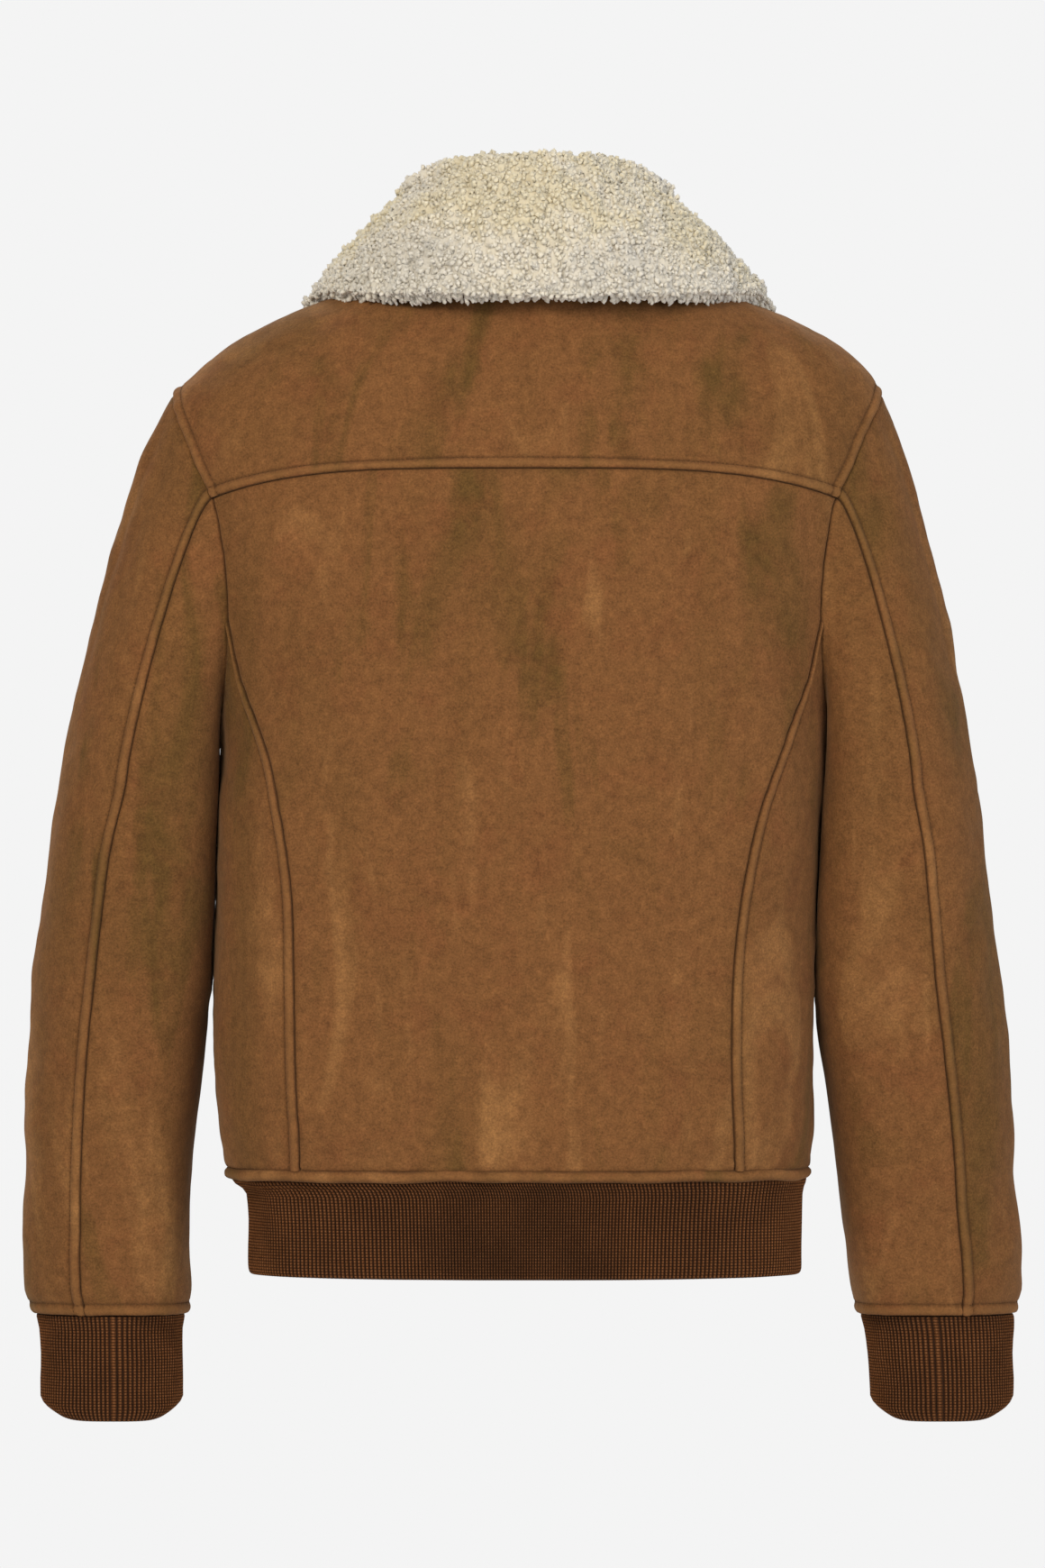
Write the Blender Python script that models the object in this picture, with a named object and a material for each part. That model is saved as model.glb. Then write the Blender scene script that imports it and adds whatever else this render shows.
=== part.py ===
"""Shearling blouson, worn shape with no wearer: suede panels, wool collar, knit waistband and cuffs.

Metres, +Z up. The wearer faces -Y, so the back is +Y and the wearer's left is +X.
The origin is at neck height, on the line where neck and shoulders carry the garment.

Every body panel is a patch on one torso surface, and every sleeve panel a patch on one sleeve
surface. A patch is worked out as a grid from its four seams, and given its wall inwards.
"""

import math

import bmesh
import bpy
import numpy as np

# Driving sizes
SKIN_WALL = 0.005  # sheepskin: suede skin with its clipped wool
KNIT_WALL = 0.003
COLLAR_WALL = 0.010  # long wool
EDGE_TRIM = 0.0002  # each cut edge stands back this much, so a seam is 0.4 mm open
ZIP_HALF_GAP = 0.0065  # half of the opening between the two fronts
HEM_Z = -0.5770
WELT_BOTTOM_Z = -0.5840
WAISTBAND_BOTTOM_Z = -0.6460  # at the centre back
WAISTBAND_SIDE_RISE = 0.0012
FRONT_NECK_Z = -0.078
SLEEVE_TOP_RING_Z = -0.330  # from here down a sleeve is a plain tube
SLEEVE_HEM_Z = -0.672
CUFF_BOTTOM_Z = -0.741
WAISTBAND_RIBS = 80
CUFF_RIBS = 28
RIB_HEIGHT = 0.0012

# The body in level rings, from the neck down to the waist seam
TORSO_COLUMNS = ("z", "half_width", "back", "front", "squareness", "centre_x")
TORSO_RINGS = (
    (0.0040, 0.0760, 0.0600, 0.0530, 2.00, -0.0065),
    (-0.0010, 0.0880, 0.0640, 0.0580, 2.00, -0.0065),
    (-0.0080, 0.1060, 0.0690, 0.0630, 2.00, -0.0065),
    (-0.0180, 0.1310, 0.0750, 0.0690, 2.00, -0.0065),
    (-0.0319, 0.1656, 0.0820, 0.0760, 2.00, -0.0065),
    (-0.0493, 0.1970, 0.0895, 0.0830, 2.05, -0.0065),
    (-0.0667, 0.2170, 0.0960, 0.0885, 2.10, -0.0050),
    (-0.0800, 0.2275, 0.1005, 0.0925, 2.10, -0.0020),
    (-0.0900, 0.2325, 0.1035, 0.0950, 2.12, -0.0010),
    (-0.1050, 0.2345, 0.1075, 0.0985, 2.15, 0.0000),
    (-0.1250, 0.2320, 0.1125, 0.1035, 2.25, 0.0000),
    (-0.1500, 0.2235, 0.1180, 0.1110, 2.30, 0.0000),
    (-0.1750, 0.2175, 0.1215, 0.1165, 2.40, 0.0000),
    (-0.2260, 0.2065, 0.1260, 0.1245, 2.50, 0.0000),
    (-0.2700, 0.1990, 0.1265, 0.1285, 2.60, 0.0000),
    (-0.3060, 0.1955, 0.1255, 0.1300, 2.85, 0.0000),
    (-0.3500, 0.1945, 0.1240, 0.1295, 3.05, 0.0030),
    (-0.4000, 0.1935, 0.1220, 0.1285, 3.20, 0.0050),
    (-0.4500, 0.1930, 0.1200, 0.1270, 3.20, 0.0070),
    (-0.4930, 0.1928, 0.1190, 0.1260, 3.20, 0.0072),
    (-0.5280, 0.1920, 0.1190, 0.1255, 3.10, 0.0064),
    (-0.5530, 0.1908, 0.1185, 0.1245, 3.00, 0.0050),
    (-0.5770, 0.1866, 0.1160, 0.1200, 2.85, 0.0044),
    (-0.5950, 0.1830, 0.1140, 0.1180, 2.80, 0.0020),
)
WAISTBAND_RINGS = (
    (-0.5700, 0.1845, 0.1140, 0.1180, 2.80, 0.0040),
    (-0.5840, 0.1835, 0.1130, 0.1175, 2.80, 0.0030),
    (-0.5920, 0.1778, 0.1105, 0.1155, 2.80, -0.0003),
    (-0.6120, 0.1768, 0.1090, 0.1140, 2.80, -0.0003),
    (-0.6360, 0.1768, 0.1080, 0.1125, 2.80, -0.0003),
    (-0.6560, 0.1760, 0.1070, 0.1115, 2.80, -0.0003),
)

# Soft troughs in the body. Columns: angle from the centre back, positive to the wearer's left;
# lean in degrees a metre; top and bottom height; width; depth
TORSO_FOLDS = (
    (-8.0, 70.0, -0.170, -0.400, 0.030, 0.0026),
    (-30.0, 10.0, -0.330, -0.560, 0.024, 0.0022),
    (-48.0, -25.0, -0.300, -0.540, 0.020, 0.0024),
    (12.0, 25.0, -0.430, -0.560, 0.018, 0.0024),
    (32.0, -15.0, -0.350, -0.555, 0.024, 0.0026),
    (51.0, 20.0, -0.310, -0.530, 0.020, 0.0022),
    (-16.0, -10.0, -0.480, -0.565, 0.014, 0.0018),
    (-68.0, -12.0, -0.340, -0.555, 0.022, 0.0028),
    (70.0, 18.0, -0.350, -0.560, 0.022, 0.0026),
    (118.0, -30.0, -0.270, -0.520, 0.026, 0.0030),
    (-116.0, 26.0, -0.280, -0.540, 0.026, 0.0030),
    (142.0, -14.0, -0.400, -0.560, 0.020, 0.0024),
    (-144.0, 18.0, -0.380, -0.560, 0.020, 0.0024),
)

# The armhole is an oval seen from the side, laid on the torso surface. Its angle runs from the
# shoulder tip over the back, the armpit and the front, in degrees.
ARMHOLE_MID_Z = -0.193
ARMHOLE_HALF_HEIGHT = 0.113
ARMHOLE_HALF_DEPTH = 0.068
ARMHOLE_STOPS = (0.0, 66.5, 107.0, 180.0, 252.0, 360.0)
ARMHOLE_PARTS = (6, 3, 4, 4, 6)  # grid cells between those stops

YOKE_CENTRE_Z = -0.1299
# The back seam that runs from the armhole to the waist: height, distance from the middle
SIDE_SEAM_COLUMNS = ("z", "x")
BACK_SEAM = (
    (-0.5770, 0.1385),
    (-0.5200, 0.1390),
    (-0.4600, 0.1405),
    (-0.4100, 0.1435),
    (-0.3700, 0.1490),
    (-0.3300, 0.1580),
    (-0.2950, 0.1695),
    (-0.2620, 0.1820),
)

# Grid cells along each seam
SEAM_PARTS = 8
SHOULDER_PARTS = 5
BACK_NECK_PARTS = 6
BACK_PARTS = 2 * SHOULDER_PARTS + BACK_NECK_PARTS
FRONT_NECK_PARTS = 7
SIDE_HEM_PARTS = 4
SLEEVE_CAP_STEPS = (0.0, 0.05, 0.12, 0.24, 0.38, 0.54, 0.72, 0.87, 1.0)

# A lapped seam shows as a raised band along the edge: distance from the edge, height
BAND_STEPS = ((0.0000, 0.0006), (0.0028, 0.0016), (0.0056, 0.0011), (0.0066, 0.0))

SLEEVE_COLUMNS = (
    "z", "left_inner", "left_outer", "right_inner", "right_outer", "half_depth", "centre_y",
)
SLEEVE_RINGS = (
    (-0.330, 0.1930, 0.2992, 0.1885, 0.2912, 0.0730, 0.002),
    (-0.400, 0.1950, 0.3094, 0.1840, 0.2995, 0.0710, 0.000),
    (-0.450, 0.1985, 0.3158, 0.1835, 0.3058, 0.0680, -0.005),
    (-0.493, 0.2052, 0.3198, 0.1890, 0.3109, 0.0655, -0.010),
    (-0.528, 0.2090, 0.3219, 0.1949, 0.3138, 0.0635, -0.014),
    (-0.563, 0.2134, 0.3225, 0.1995, 0.3167, 0.0615, -0.019),
    (-0.598, 0.2158, 0.3236, 0.2036, 0.3184, 0.0595, -0.024),
    (-0.632, 0.2163, 0.3240, 0.2082, 0.3210, 0.0575, -0.029),
    (-0.655, 0.2152, 0.3236, 0.2110, 0.3215, 0.0555, -0.032),
    (-0.672, 0.2182, 0.3165, 0.2160, 0.3170, 0.0525, -0.035),
    (-0.684, 0.2210, 0.3130, 0.2200, 0.3160, 0.0490, -0.037),
    (-0.719, 0.2205, 0.3130, 0.2232, 0.3165, 0.0480, -0.040),
    (-0.745, 0.2205, 0.3130, 0.2240, 0.3165, 0.0475, -0.042),
)
SLEEVE_CLEARANCE = 0.0012  # where a sleeve leans on the body
INNER_ACROSS, INNER_DEPTH = 0.50, 0.80  # powers that square off the side next to the body
# How far a column of the cap runs on before it turns down, round from the shoulder tip
CAP_LEAVE_COLUMNS = ("degrees", "pull")
CAP_LEAVE = (
    (0.0, 0.62), (30.0, 0.50), (66.5, 0.26), (107.0, 0.20), (180.0, 0.12), (215.0, 0.40),
    (252.0, 0.62), (360.0, 0.62),
)
SLEEVE_SEAM_COLUMNS = ("z", "degrees")
SLEEVE_BACK_SEAM = ((-0.330, 81.0), (-0.383, 74.0), (-0.450, 73.0), (-0.672, 73.0))
SLEEVE_FRONT_SEAM_DEGREES = 252.0
# Troughs across a sleeve. Columns: middle and spread in degrees; height; slant over the spread;
# width; depth
SLEEVE_FOLDS = (
    (250.0, 70.0, -0.452, 0.020, 0.012, 0.0040),
    (285.0, 60.0, -0.488, -0.016, 0.013, 0.0032),
    (230.0, 55.0, -0.400, 0.024, 0.014, 0.0034),
    (110.0, 40.0, -0.360, -0.020, 0.016, 0.0026),
    (95.0, 45.0, -0.610, 0.012, 0.014, 0.0018),
    (20.0, 50.0, -0.585, -0.016, 0.018, 0.0020),
)

# Collar sections from the centre back (share 0) round to the front end (share 1)
COLLAR_COLUMNS = (
    "share", "seam_angle", "roll_angle", "roll_radius", "roll_z", "edge_angle", "edge_radius",
    "edge_z",
)
COLLAR_SECTIONS = (
    (0.00, 0.0, 0.0, 0.0780, 0.0627, 0.0, 0.0950, -0.0200),
    (0.25, 45.0, 44.0, 0.0700, 0.0602, 42.0, 0.1160, -0.0180),
    (0.50, 90.0, 89.0, 0.0690, 0.0485, 86.0, 0.1385, -0.0155),
    (0.62, 112.0, 110.5, 0.0760, 0.0320, 103.0, 0.1525, -0.0290),
    (0.78, 140.0, 138.0, 0.0880, -0.0050, 125.0, 0.1560, -0.0860),
    (1.00, 175.5, 173.5, 0.0960, -0.0600, 151.0, 0.1300, -0.1620),
)
COLLAR_ROLL_RADIUS = 0.0078
COLLAR_LEAN = -0.0030  # the fall sits a little towards the wearer's right
COLLAR_CLEARANCE = 0.0034  # between the fall's underside and what it lies on
COLLAR_PARTS = 18  # sections on each side of the centre back

TAPE_WIDTH = 0.013
TAPE_THICKNESS = 0.0010
CHAIN_HALF_WIDTH = 0.0028
CHAIN_DEPTH = 0.0032
ZIP_TOP_Z = -0.0860
SLIDER_Z = -0.0960

COLOURS = {  # linear base colour, roughness, metallic
    "suede": ((0.215, 0.098, 0.034), 0.95, 0.0),
    "wool": ((0.66, 0.60, 0.47), 1.0, 0.0),
    "knit": ((0.075, 0.030, 0.013), 0.95, 0.0),
    "tape": ((0.035, 0.018, 0.010), 0.9, 0.0),
    "brass": ((0.42, 0.30, 0.13), 0.35, 1.0),
}


def clear_scene():
    for thing in list(bpy.data.objects):
        bpy.data.objects.remove(thing)


def material(name):
    """A plain finish, made once and shared."""
    made = bpy.data.materials.get(name)
    if made:
        return made
    colour, roughness, metallic = COLOURS[name]
    made = bpy.data.materials.new(name)
    made.use_nodes = True
    shader = made.node_tree.nodes["Principled BSDF"]
    shader.inputs["Base Color"].default_value = (*colour, 1.0)
    shader.inputs["Roughness"].default_value = roughness
    shader.inputs["Metallic"].default_value = metallic
    return made


def curve_through(xs, ys, at):
    """A smooth curve through the points that never overshoots them (monotone cubic)."""
    order = np.argsort(xs)
    xs, ys = np.asarray(xs, float)[order], np.asarray(ys, float)[order]
    step = np.diff(xs)
    slope = np.diff(ys) / step
    same_way = slope[:-1] * slope[1:] > 0
    both = np.where(same_way, slope[:-1] + slope[1:], 1.0)
    inner = np.where(same_way, 2 * slope[:-1] * slope[1:] / both, 0.0)
    tangent = np.concatenate([[slope[0]], inner, [slope[-1]]])
    at = np.clip(np.asarray(at, float), xs[0], xs[-1])
    cell = np.clip(np.searchsorted(xs, at, side="right") - 1, 0, len(step) - 1)
    t = (at - xs[cell]) / step[cell]
    return (
        (1 + 2 * t) * (1 - t) ** 2 * ys[cell]
        + t * (1 - t) ** 2 * step[cell] * tangent[cell]
        + t * t * (3 - 2 * t) * ys[cell + 1]
        + t * t * (t - 1) * step[cell] * tangent[cell + 1]
    )


def column(rows, columns, name, at, key="z"):
    """One named column of a table, read off smoothly at the values of its key column."""
    table = np.array(rows)
    return curve_through(table[:, columns.index(key)], table[:, columns.index(name)], at)


def fold_depth(angle, z):
    """How far the soft troughs pull the torso surface in: each is a bell across, fading at its ends."""
    total = np.zeros(np.broadcast(angle, z).shape)
    for turned, lean, top, bottom, width, depth in TORSO_FOLDS:
        along = np.clip((top - z) / (top - bottom), 0.0, 1.0)
        line = math.radians(turned) + np.radians(lean) * (z - top)
        across = 0.15 * (angle - line) / width
        total = total + depth * np.exp(-(across**2)) * np.sin(math.pi * along) ** 2
    return total


def ring_radius(rows, angle, z):
    """Distance from the ring's middle to its edge: a superellipse, deeper at front than at back."""
    a = column(rows, TORSO_COLUMNS, "half_width", z)
    n = column(rows, TORSO_COLUMNS, "squareness", z)
    back = column(rows, TORSO_COLUMNS, "back", z)
    front = column(rows, TORSO_COLUMNS, "front", z)
    b = np.where(np.cos(angle) > 0, back, front)
    return ((np.abs(np.sin(angle)) / a) ** n + (np.abs(np.cos(angle)) / b) ** n) ** (-1 / n)


def ring_points(rows, angle, z, radius):
    centre = column(rows, TORSO_COLUMNS, "centre_x", z)
    z = np.broadcast_to(z, np.shape(radius))
    return np.stack([centre + radius * np.sin(angle), radius * np.cos(angle), z], axis=-1)


def torso(angle, z):
    """Points of the suede's outer face. The angle is from the centre back, in radians."""
    radius = ring_radius(TORSO_RINGS, angle, z) - fold_depth(angle, z)
    return ring_points(TORSO_RINGS, angle, z, radius)


def waistband_surface(angle, z):
    return ring_points(WAISTBAND_RINGS, angle, z, ring_radius(WAISTBAND_RINGS, angle, z))


def unit(v):
    return v / np.maximum(np.linalg.norm(v, axis=-1, keepdims=True), 1e-12)


def normals_on(surface, angle, z):
    """Outward normals by small steps either way along the surface."""
    step = 0.0005
    along = surface(angle + 4 * step, z) - surface(angle - 4 * step, z)
    up = surface(angle, z + step) - surface(angle, z - step)
    return unit(np.cross(up, along))


def angle_at_x(x, z):
    """The angle on the back where the torso surface lies x from its middle."""
    a = column(TORSO_RINGS, TORSO_COLUMNS, "half_width", z)
    b = column(TORSO_RINGS, TORSO_COLUMNS, "back", z)
    n = column(TORSO_RINGS, TORSO_COLUMNS, "squareness", z)
    y = b * (1 - np.minimum(np.abs(x) / a, 1.0) ** n) ** (1 / n)
    return np.arctan2(x, y)


def armhole_seam(degrees):
    """(angle, z) along the armhole on the wearer's left."""
    turn = np.radians(degrees)
    y = ARMHOLE_HALF_DEPTH * np.sin(turn)
    z = ARMHOLE_MID_Z + ARMHOLE_HALF_HEIGHT * np.cos(turn)
    a = column(TORSO_RINGS, TORSO_COLUMNS, "half_width", z)
    n = column(TORSO_RINGS, TORSO_COLUMNS, "squareness", z)
    back = column(TORSO_RINGS, TORSO_COLUMNS, "back", z)
    front = column(TORSO_RINGS, TORSO_COLUMNS, "front", z)
    b = np.where(y > 0, back, front)
    x = a * (1 - (np.abs(y) / b) ** n) ** (1 / n)
    return np.stack([np.arctan2(x, y), z], axis=-1)


def armhole_degrees(first, last):
    """The grid's places along the armhole from stop number first to stop number last."""
    parts = [
        np.linspace(ARMHOLE_STOPS[i], ARMHOLE_STOPS[i + 1], ARMHOLE_PARTS[i] + 1)[:-1]
        for i in range(first, last)
    ]
    return np.concatenate([*parts, [ARMHOLE_STOPS[last]]])


def yoke_seam():
    """(angle, z) from the right armhole to the left one, bowed down towards its ends."""
    end = armhole_seam(ARMHOLE_STOPS[1])
    reach = torso(end[0], end[1])[0] - column(TORSO_RINGS, TORSO_COLUMNS, "centre_x", end[1])
    share = np.linspace(-1.0, 1.0, BACK_PARTS + 1)
    z = YOKE_CENTRE_Z + (end[1] - YOKE_CENTRE_Z) * share**4
    angle = angle_at_x(share * reach, z)
    angle[0], angle[-1] = -end[0], end[0]
    return np.stack([angle, z], axis=-1)


def back_seam():
    """(angle, z) of the seam from the waist up to the armhole, on the wearer's left."""
    end = armhole_seam(ARMHOLE_STOPS[2])
    z = np.linspace(HEM_Z, end[1], SEAM_PARTS + 1)
    reach = torso(end[0], end[1])[0]
    x = column((*BACK_SEAM, (end[1], reach)), SIDE_SEAM_COLUMNS, "x", z)
    angle = angle_at_x(x, z)
    angle[-1] = end[0]
    return np.stack([angle, z], axis=-1)


def side_seam():
    """(angle, z) from the waist to the armpit."""
    top = ARMHOLE_MID_Z - ARMHOLE_HALF_HEIGHT
    z = np.linspace(HEM_Z, top, SEAM_PARTS + 1)
    return np.stack([np.full_like(z, math.pi / 2), z], axis=-1)


def shoulder_seam():
    """(angle, z) from the shoulder tip up to the neck."""
    z = np.linspace(0.0, 1.0, SHOULDER_PARTS + 1)
    tip = ARMHOLE_MID_Z + ARMHOLE_HALF_HEIGHT
    z = tip + (neck_z(math.pi / 2) - tip) * z
    return np.stack([np.full_like(z, math.pi / 2), z], axis=-1)


def neck_z(angle):
    """Height of the neckline: nearly level at the back, dropping to the front."""
    toward_front = np.maximum(-np.cos(angle), 0.0)
    return -0.005 + 0.004 * np.sin(angle) ** 2 - (-0.005 - FRONT_NECK_Z) * toward_front**1.6


def front_edge_angle(z):
    """The angle where a front ends, beside the zip."""
    depth = column(TORSO_RINGS, TORSO_COLUMNS, "front", z)
    return math.pi - np.arctan2(ZIP_HALF_GAP, depth)


def front_neck_seam():
    """(angle, z) from the neck's side round to the zip."""
    angle = np.linspace(math.pi / 2, front_edge_angle(FRONT_NECK_Z), FRONT_NECK_PARTS + 1)
    return np.stack([angle, neck_z(angle)], axis=-1)


def hem_seam(first, last, parts):
    angle = np.linspace(first, last, parts + 1)
    return np.stack([angle, np.full_like(angle, HEM_Z)], axis=-1)


def patch(bottom, top, left, right):
    """A grid between four seams: each side's own shape, faded in from that side (a Coons patch)."""
    u = np.linspace(0.0, 1.0, len(bottom))[None, :, None]
    v = np.linspace(0.0, 1.0, len(left))[:, None, None]
    corners = (
        (1 - u) * (1 - v) * bottom[0] + u * (1 - v) * bottom[-1]
        + (1 - u) * v * top[0] + u * v * top[-1]
    )
    return (1 - v) * bottom + v * top + (1 - u) * left[:, None] + u * right[:, None] - corners


def with_band(grid, lift, surface, side):
    """Adds grid lines beside one edge for the raised band of a lapped seam.

    side is 'left', 'right', 'bottom' or 'top'. lift holds each point's height over the surface.
    """
    if side in ("bottom", "top"):
        grid, lift = np.swapaxes(grid, 0, 1), np.swapaxes(lift, 0, 1)
    if side in ("right", "top"):
        grid, lift = grid[:, ::-1], lift[:, ::-1]
    edge, inside = grid[:, :1], grid[:, 1:2]
    length = np.linalg.norm(
        surface(*np.moveaxis(inside, -1, 0)) - surface(*np.moveaxis(edge, -1, 0)), axis=-1
    )[..., None]
    lines = [edge + (inside - edge) * (d / length) for d, _ in BAND_STEPS]
    heights = [np.maximum(lift[:, :1], h) for _, h in BAND_STEPS]
    grid = np.concatenate([*lines, grid[:, 1:]], axis=1)
    lift = np.concatenate([*heights, lift[:, 1:]], axis=1)
    if side in ("right", "top"):
        grid, lift = grid[:, ::-1], lift[:, ::-1]
    if side in ("bottom", "top"):
        grid, lift = np.swapaxes(grid, 0, 1), np.swapaxes(lift, 0, 1)
    return grid, lift


def trimmed(points, closed=False):
    """Moves the grid's border in by the seam allowance's half gap."""
    points = points.copy()
    edges = [(points[0], points[1]), (points[-1], points[-2])]
    if not closed:
        edges += [(points[:, 0], points[:, 1]), (points[:, -1], points[:, -2])]
    for border, inside in edges:
        border += unit(inside - border) * EDGE_TRIM
    return points


def rim(a, b, far, turn):
    """Two triangles across a cut edge, split the same way on both sides of a seam."""
    return [[a, a + far, b + far][::turn], [a, b + far, b][::turn]]


def wall(name, finish, outer, inner, closed=False):
    """A solid between two grids of points; closed joins the last column to the first."""
    rows, cols = outer.shape[:2]
    around = cols if closed else cols - 1
    index = np.arange(rows * cols).reshape(rows, cols)
    both = np.concatenate([outer.reshape(-1, 3), inner.reshape(-1, 3)])
    far = rows * cols
    nxt = (np.arange(cols) + 1) % cols
    r, c = np.meshgrid(np.arange(rows - 1), np.arange(around), indexing="ij")
    quads = np.stack(
        [index[r, c], index[r, nxt[c]], index[r + 1, nxt[c]], index[r + 1, c]], axis=-1
    ).reshape(-1, 4)
    faces = quads.tolist() + (quads[:, ::-1] + far).tolist()
    for row, turn in ((0, 1), (rows - 1, -1)):
        for c in range(around):
            faces += rim(int(index[row, c]), int(index[row, nxt[c]]), far, turn)
    if not closed:
        for col, turn in ((0, -1), (cols - 1, 1)):
            for r in range(rows - 1):
                faces += rim(int(index[r, col]), int(index[r + 1, col]), far, turn)
    mesh = bpy.data.meshes.new(name)
    mesh.from_pydata(both.tolist(), [], faces)
    return solid_object(name, finish, mesh)


def solid_object(name, finish, mesh):
    """Names the mesh's object, points its faces outwards, and shades its smooth stretches."""
    shape = bmesh.new()
    shape.from_mesh(mesh)
    bmesh.ops.recalc_face_normals(shape, faces=shape.faces)
    if shape.calc_volume(signed=True) < 0:
        bmesh.ops.reverse_faces(shape, faces=shape.faces)
    shape.to_mesh(mesh)
    shape.free()
    mesh.shade_smooth()
    mesh.set_sharp_from_angle(angle=math.radians(50))
    made = bpy.data.objects.new(name, mesh)
    made.data.materials.append(material(finish))
    bpy.context.scene.collection.objects.link(made)
    return made


def mirrored(grid):
    """The same patch on the wearer's right."""
    return np.stack([-grid[..., 0], grid[..., 1]], axis=-1)


def body_panel(name, grid, bands=()):
    """A suede panel from its (angle, z) grid, with a raised band along each named edge."""
    lift = np.zeros((*grid.shape[:2], 1))
    for side in bands:
        grid, lift = with_band(grid, lift, torso, side)
    angle, z = np.moveaxis(grid, -1, 0)
    base = torso(angle, z)
    normal = normals_on(torso, angle, z)
    wall(name, "suede", trimmed(base + lift * normal), trimmed(base - SKIN_WALL * normal))


def body_panels():
    """Yoke, centre back, two side backs and two fronts."""
    yoke, princess, side = yoke_seam(), back_seam(), side_seam()
    shoulder, neck = shoulder_seam(), front_neck_seam()
    tip_to_yoke = armhole_seam(armhole_degrees(0, 1))
    back_neck = np.linspace(-math.pi / 2, math.pi / 2, BACK_NECK_PARTS + 1)
    back_neck = np.stack([back_neck, neck_z(back_neck)], axis=-1)

    top = np.concatenate([mirrored(shoulder), back_neck[1:-1], shoulder[::-1]])
    right = tip_to_yoke[::-1]
    yoke_grid = patch(yoke, top, mirrored(right), right)
    body_panel("back_yoke", yoke_grid, ("bottom", "left", "right"))

    beside = np.concatenate([princess, armhole_seam(armhole_degrees(1, 2))[::-1][1:]])
    hem = hem_seam(-princess[0, 0], princess[0, 0], BACK_PARTS)
    body_panel("back_centre", patch(hem, yoke, mirrored(beside), beside))

    hem = hem_seam(princess[0, 0], math.pi / 2, SIDE_HEM_PARTS)
    side_grid = patch(hem, armhole_seam(armhole_degrees(2, 3)), princess, side)
    body_panel("back_side_left", side_grid, ("left",))
    body_panel("back_side_right", mirrored(side_grid), ("left",))

    outer = np.concatenate([side, armhole_seam(armhole_degrees(3, 5))[1:]])
    top = np.concatenate([shoulder, neck[1:]])
    z = np.linspace(HEM_Z, FRONT_NECK_Z, len(outer))
    zip_edge = np.stack([front_edge_angle(z), z], axis=-1)
    hem = hem_seam(math.pi / 2, zip_edge[0, 0], SHOULDER_PARTS + FRONT_NECK_PARTS)
    front_grid = patch(hem, top, outer, zip_edge)
    body_panel("front_left", front_grid, ("right",))
    body_panel("front_right", mirrored(front_grid), ("right",))


def waist_angles(parts):
    """Angles from the zip's left edge round the back to its right edge."""
    end = front_edge_angle(HEM_Z)
    return np.linspace(end, -end, parts + 1)


def hem_welt():
    """The rolled suede strip that covers the waist seam."""
    angle = waist_angles(48)
    z = np.array([HEM_Z, HEM_Z - 0.002, HEM_Z - 0.005, WELT_BOTTOM_Z])[:, None]
    lift = np.array([0.0006, 0.0024, 0.0022, 0.0004])[:, None, None]
    grid_angle, grid_z = np.broadcast_arrays(angle[None, :], z)
    base = torso(grid_angle, grid_z)
    normal = normals_on(torso, grid_angle, grid_z)
    wall("hem_welt", "suede", trimmed(base + lift * normal), trimmed(base - SKIN_WALL * normal))


def ribs(count, columns):
    """Height of each column of a ribbed knit: a ridge on every other column."""
    return np.where(np.arange(columns) % (columns // count) == 0, RIB_HEIGHT, 0.0)


def waistband():
    """Ribbed knit round the waist, doubled at its lower edge."""
    angle = waist_angles(2 * WAISTBAND_RIBS)
    rows = np.array([0.0, 0.14, 0.95, 1.0])[:, None]
    bottom = WAISTBAND_BOTTOM_Z + WAISTBAND_SIDE_RISE * np.sin(angle) ** 4
    grid_z = WELT_BOTTOM_Z + (bottom[None, :] - WELT_BOTTOM_Z) * rows
    grid_angle = np.broadcast_to(angle, grid_z.shape)
    normal = normals_on(waistband_surface, grid_angle, grid_z)
    rounding = np.array([0.0, 0.0, 0.0, 0.0010])[:, None, None]
    ridge = np.array([0.5, 1.0, 1.0, 0.3])[:, None, None]
    height = ridge * ribs(WAISTBAND_RIBS, len(angle))[None, :, None] - rounding
    base = waistband_surface(grid_angle, grid_z)
    inner = base - (KNIT_WALL - rounding) * normal
    wall("waistband", "knit", trimmed(base + height * normal), trimmed(inner))


def sleeve_tube(side, degrees, z):
    """Points of a sleeve below the cap: an oval, flatter where it faces the body."""
    inner = column(SLEEVE_RINGS, SLEEVE_COLUMNS, side + "_inner", z)
    outer = column(SLEEVE_RINGS, SLEEVE_COLUMNS, side + "_outer", z)
    b = column(SLEEVE_RINGS, SLEEVE_COLUMNS, "half_depth", z)
    y0 = column(SLEEVE_RINGS, SLEEVE_COLUMNS, "centre_y", z)
    c, s = np.cos(np.radians(degrees)), np.sin(np.radians(degrees))
    across = np.where(c < 0, -np.abs(c) ** INNER_ACROSS, c)
    along_y = np.where(c < 0, np.sign(s) * np.abs(s) ** INNER_DEPTH, s)
    fold = np.zeros(np.broadcast(degrees, z).shape)
    for middle, spread, height, slant, width, depth in SLEEVE_FOLDS:
        turned = (np.asarray(degrees) - middle + 180.0) % 360.0 - 180.0
        line = height + slant * turned / spread
        bell = np.exp(-(((z - line) / width) ** 2) - (turned / spread) ** 2)
        fold = fold + depth * bell
    shrink = 1 - fold / 0.055
    x = (inner + outer) / 2 + (outer - inner) / 2 * across * shrink
    z = np.broadcast_to(z, x.shape)
    y = y0 + b * along_y * shrink
    x = np.maximum(x, flank_x(side, y, z) + SLEEVE_CLEARANCE)
    points = np.stack([x, y, z], axis=-1)
    return points if side == "left" else points * (-1.0, 1.0, 1.0)


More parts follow.
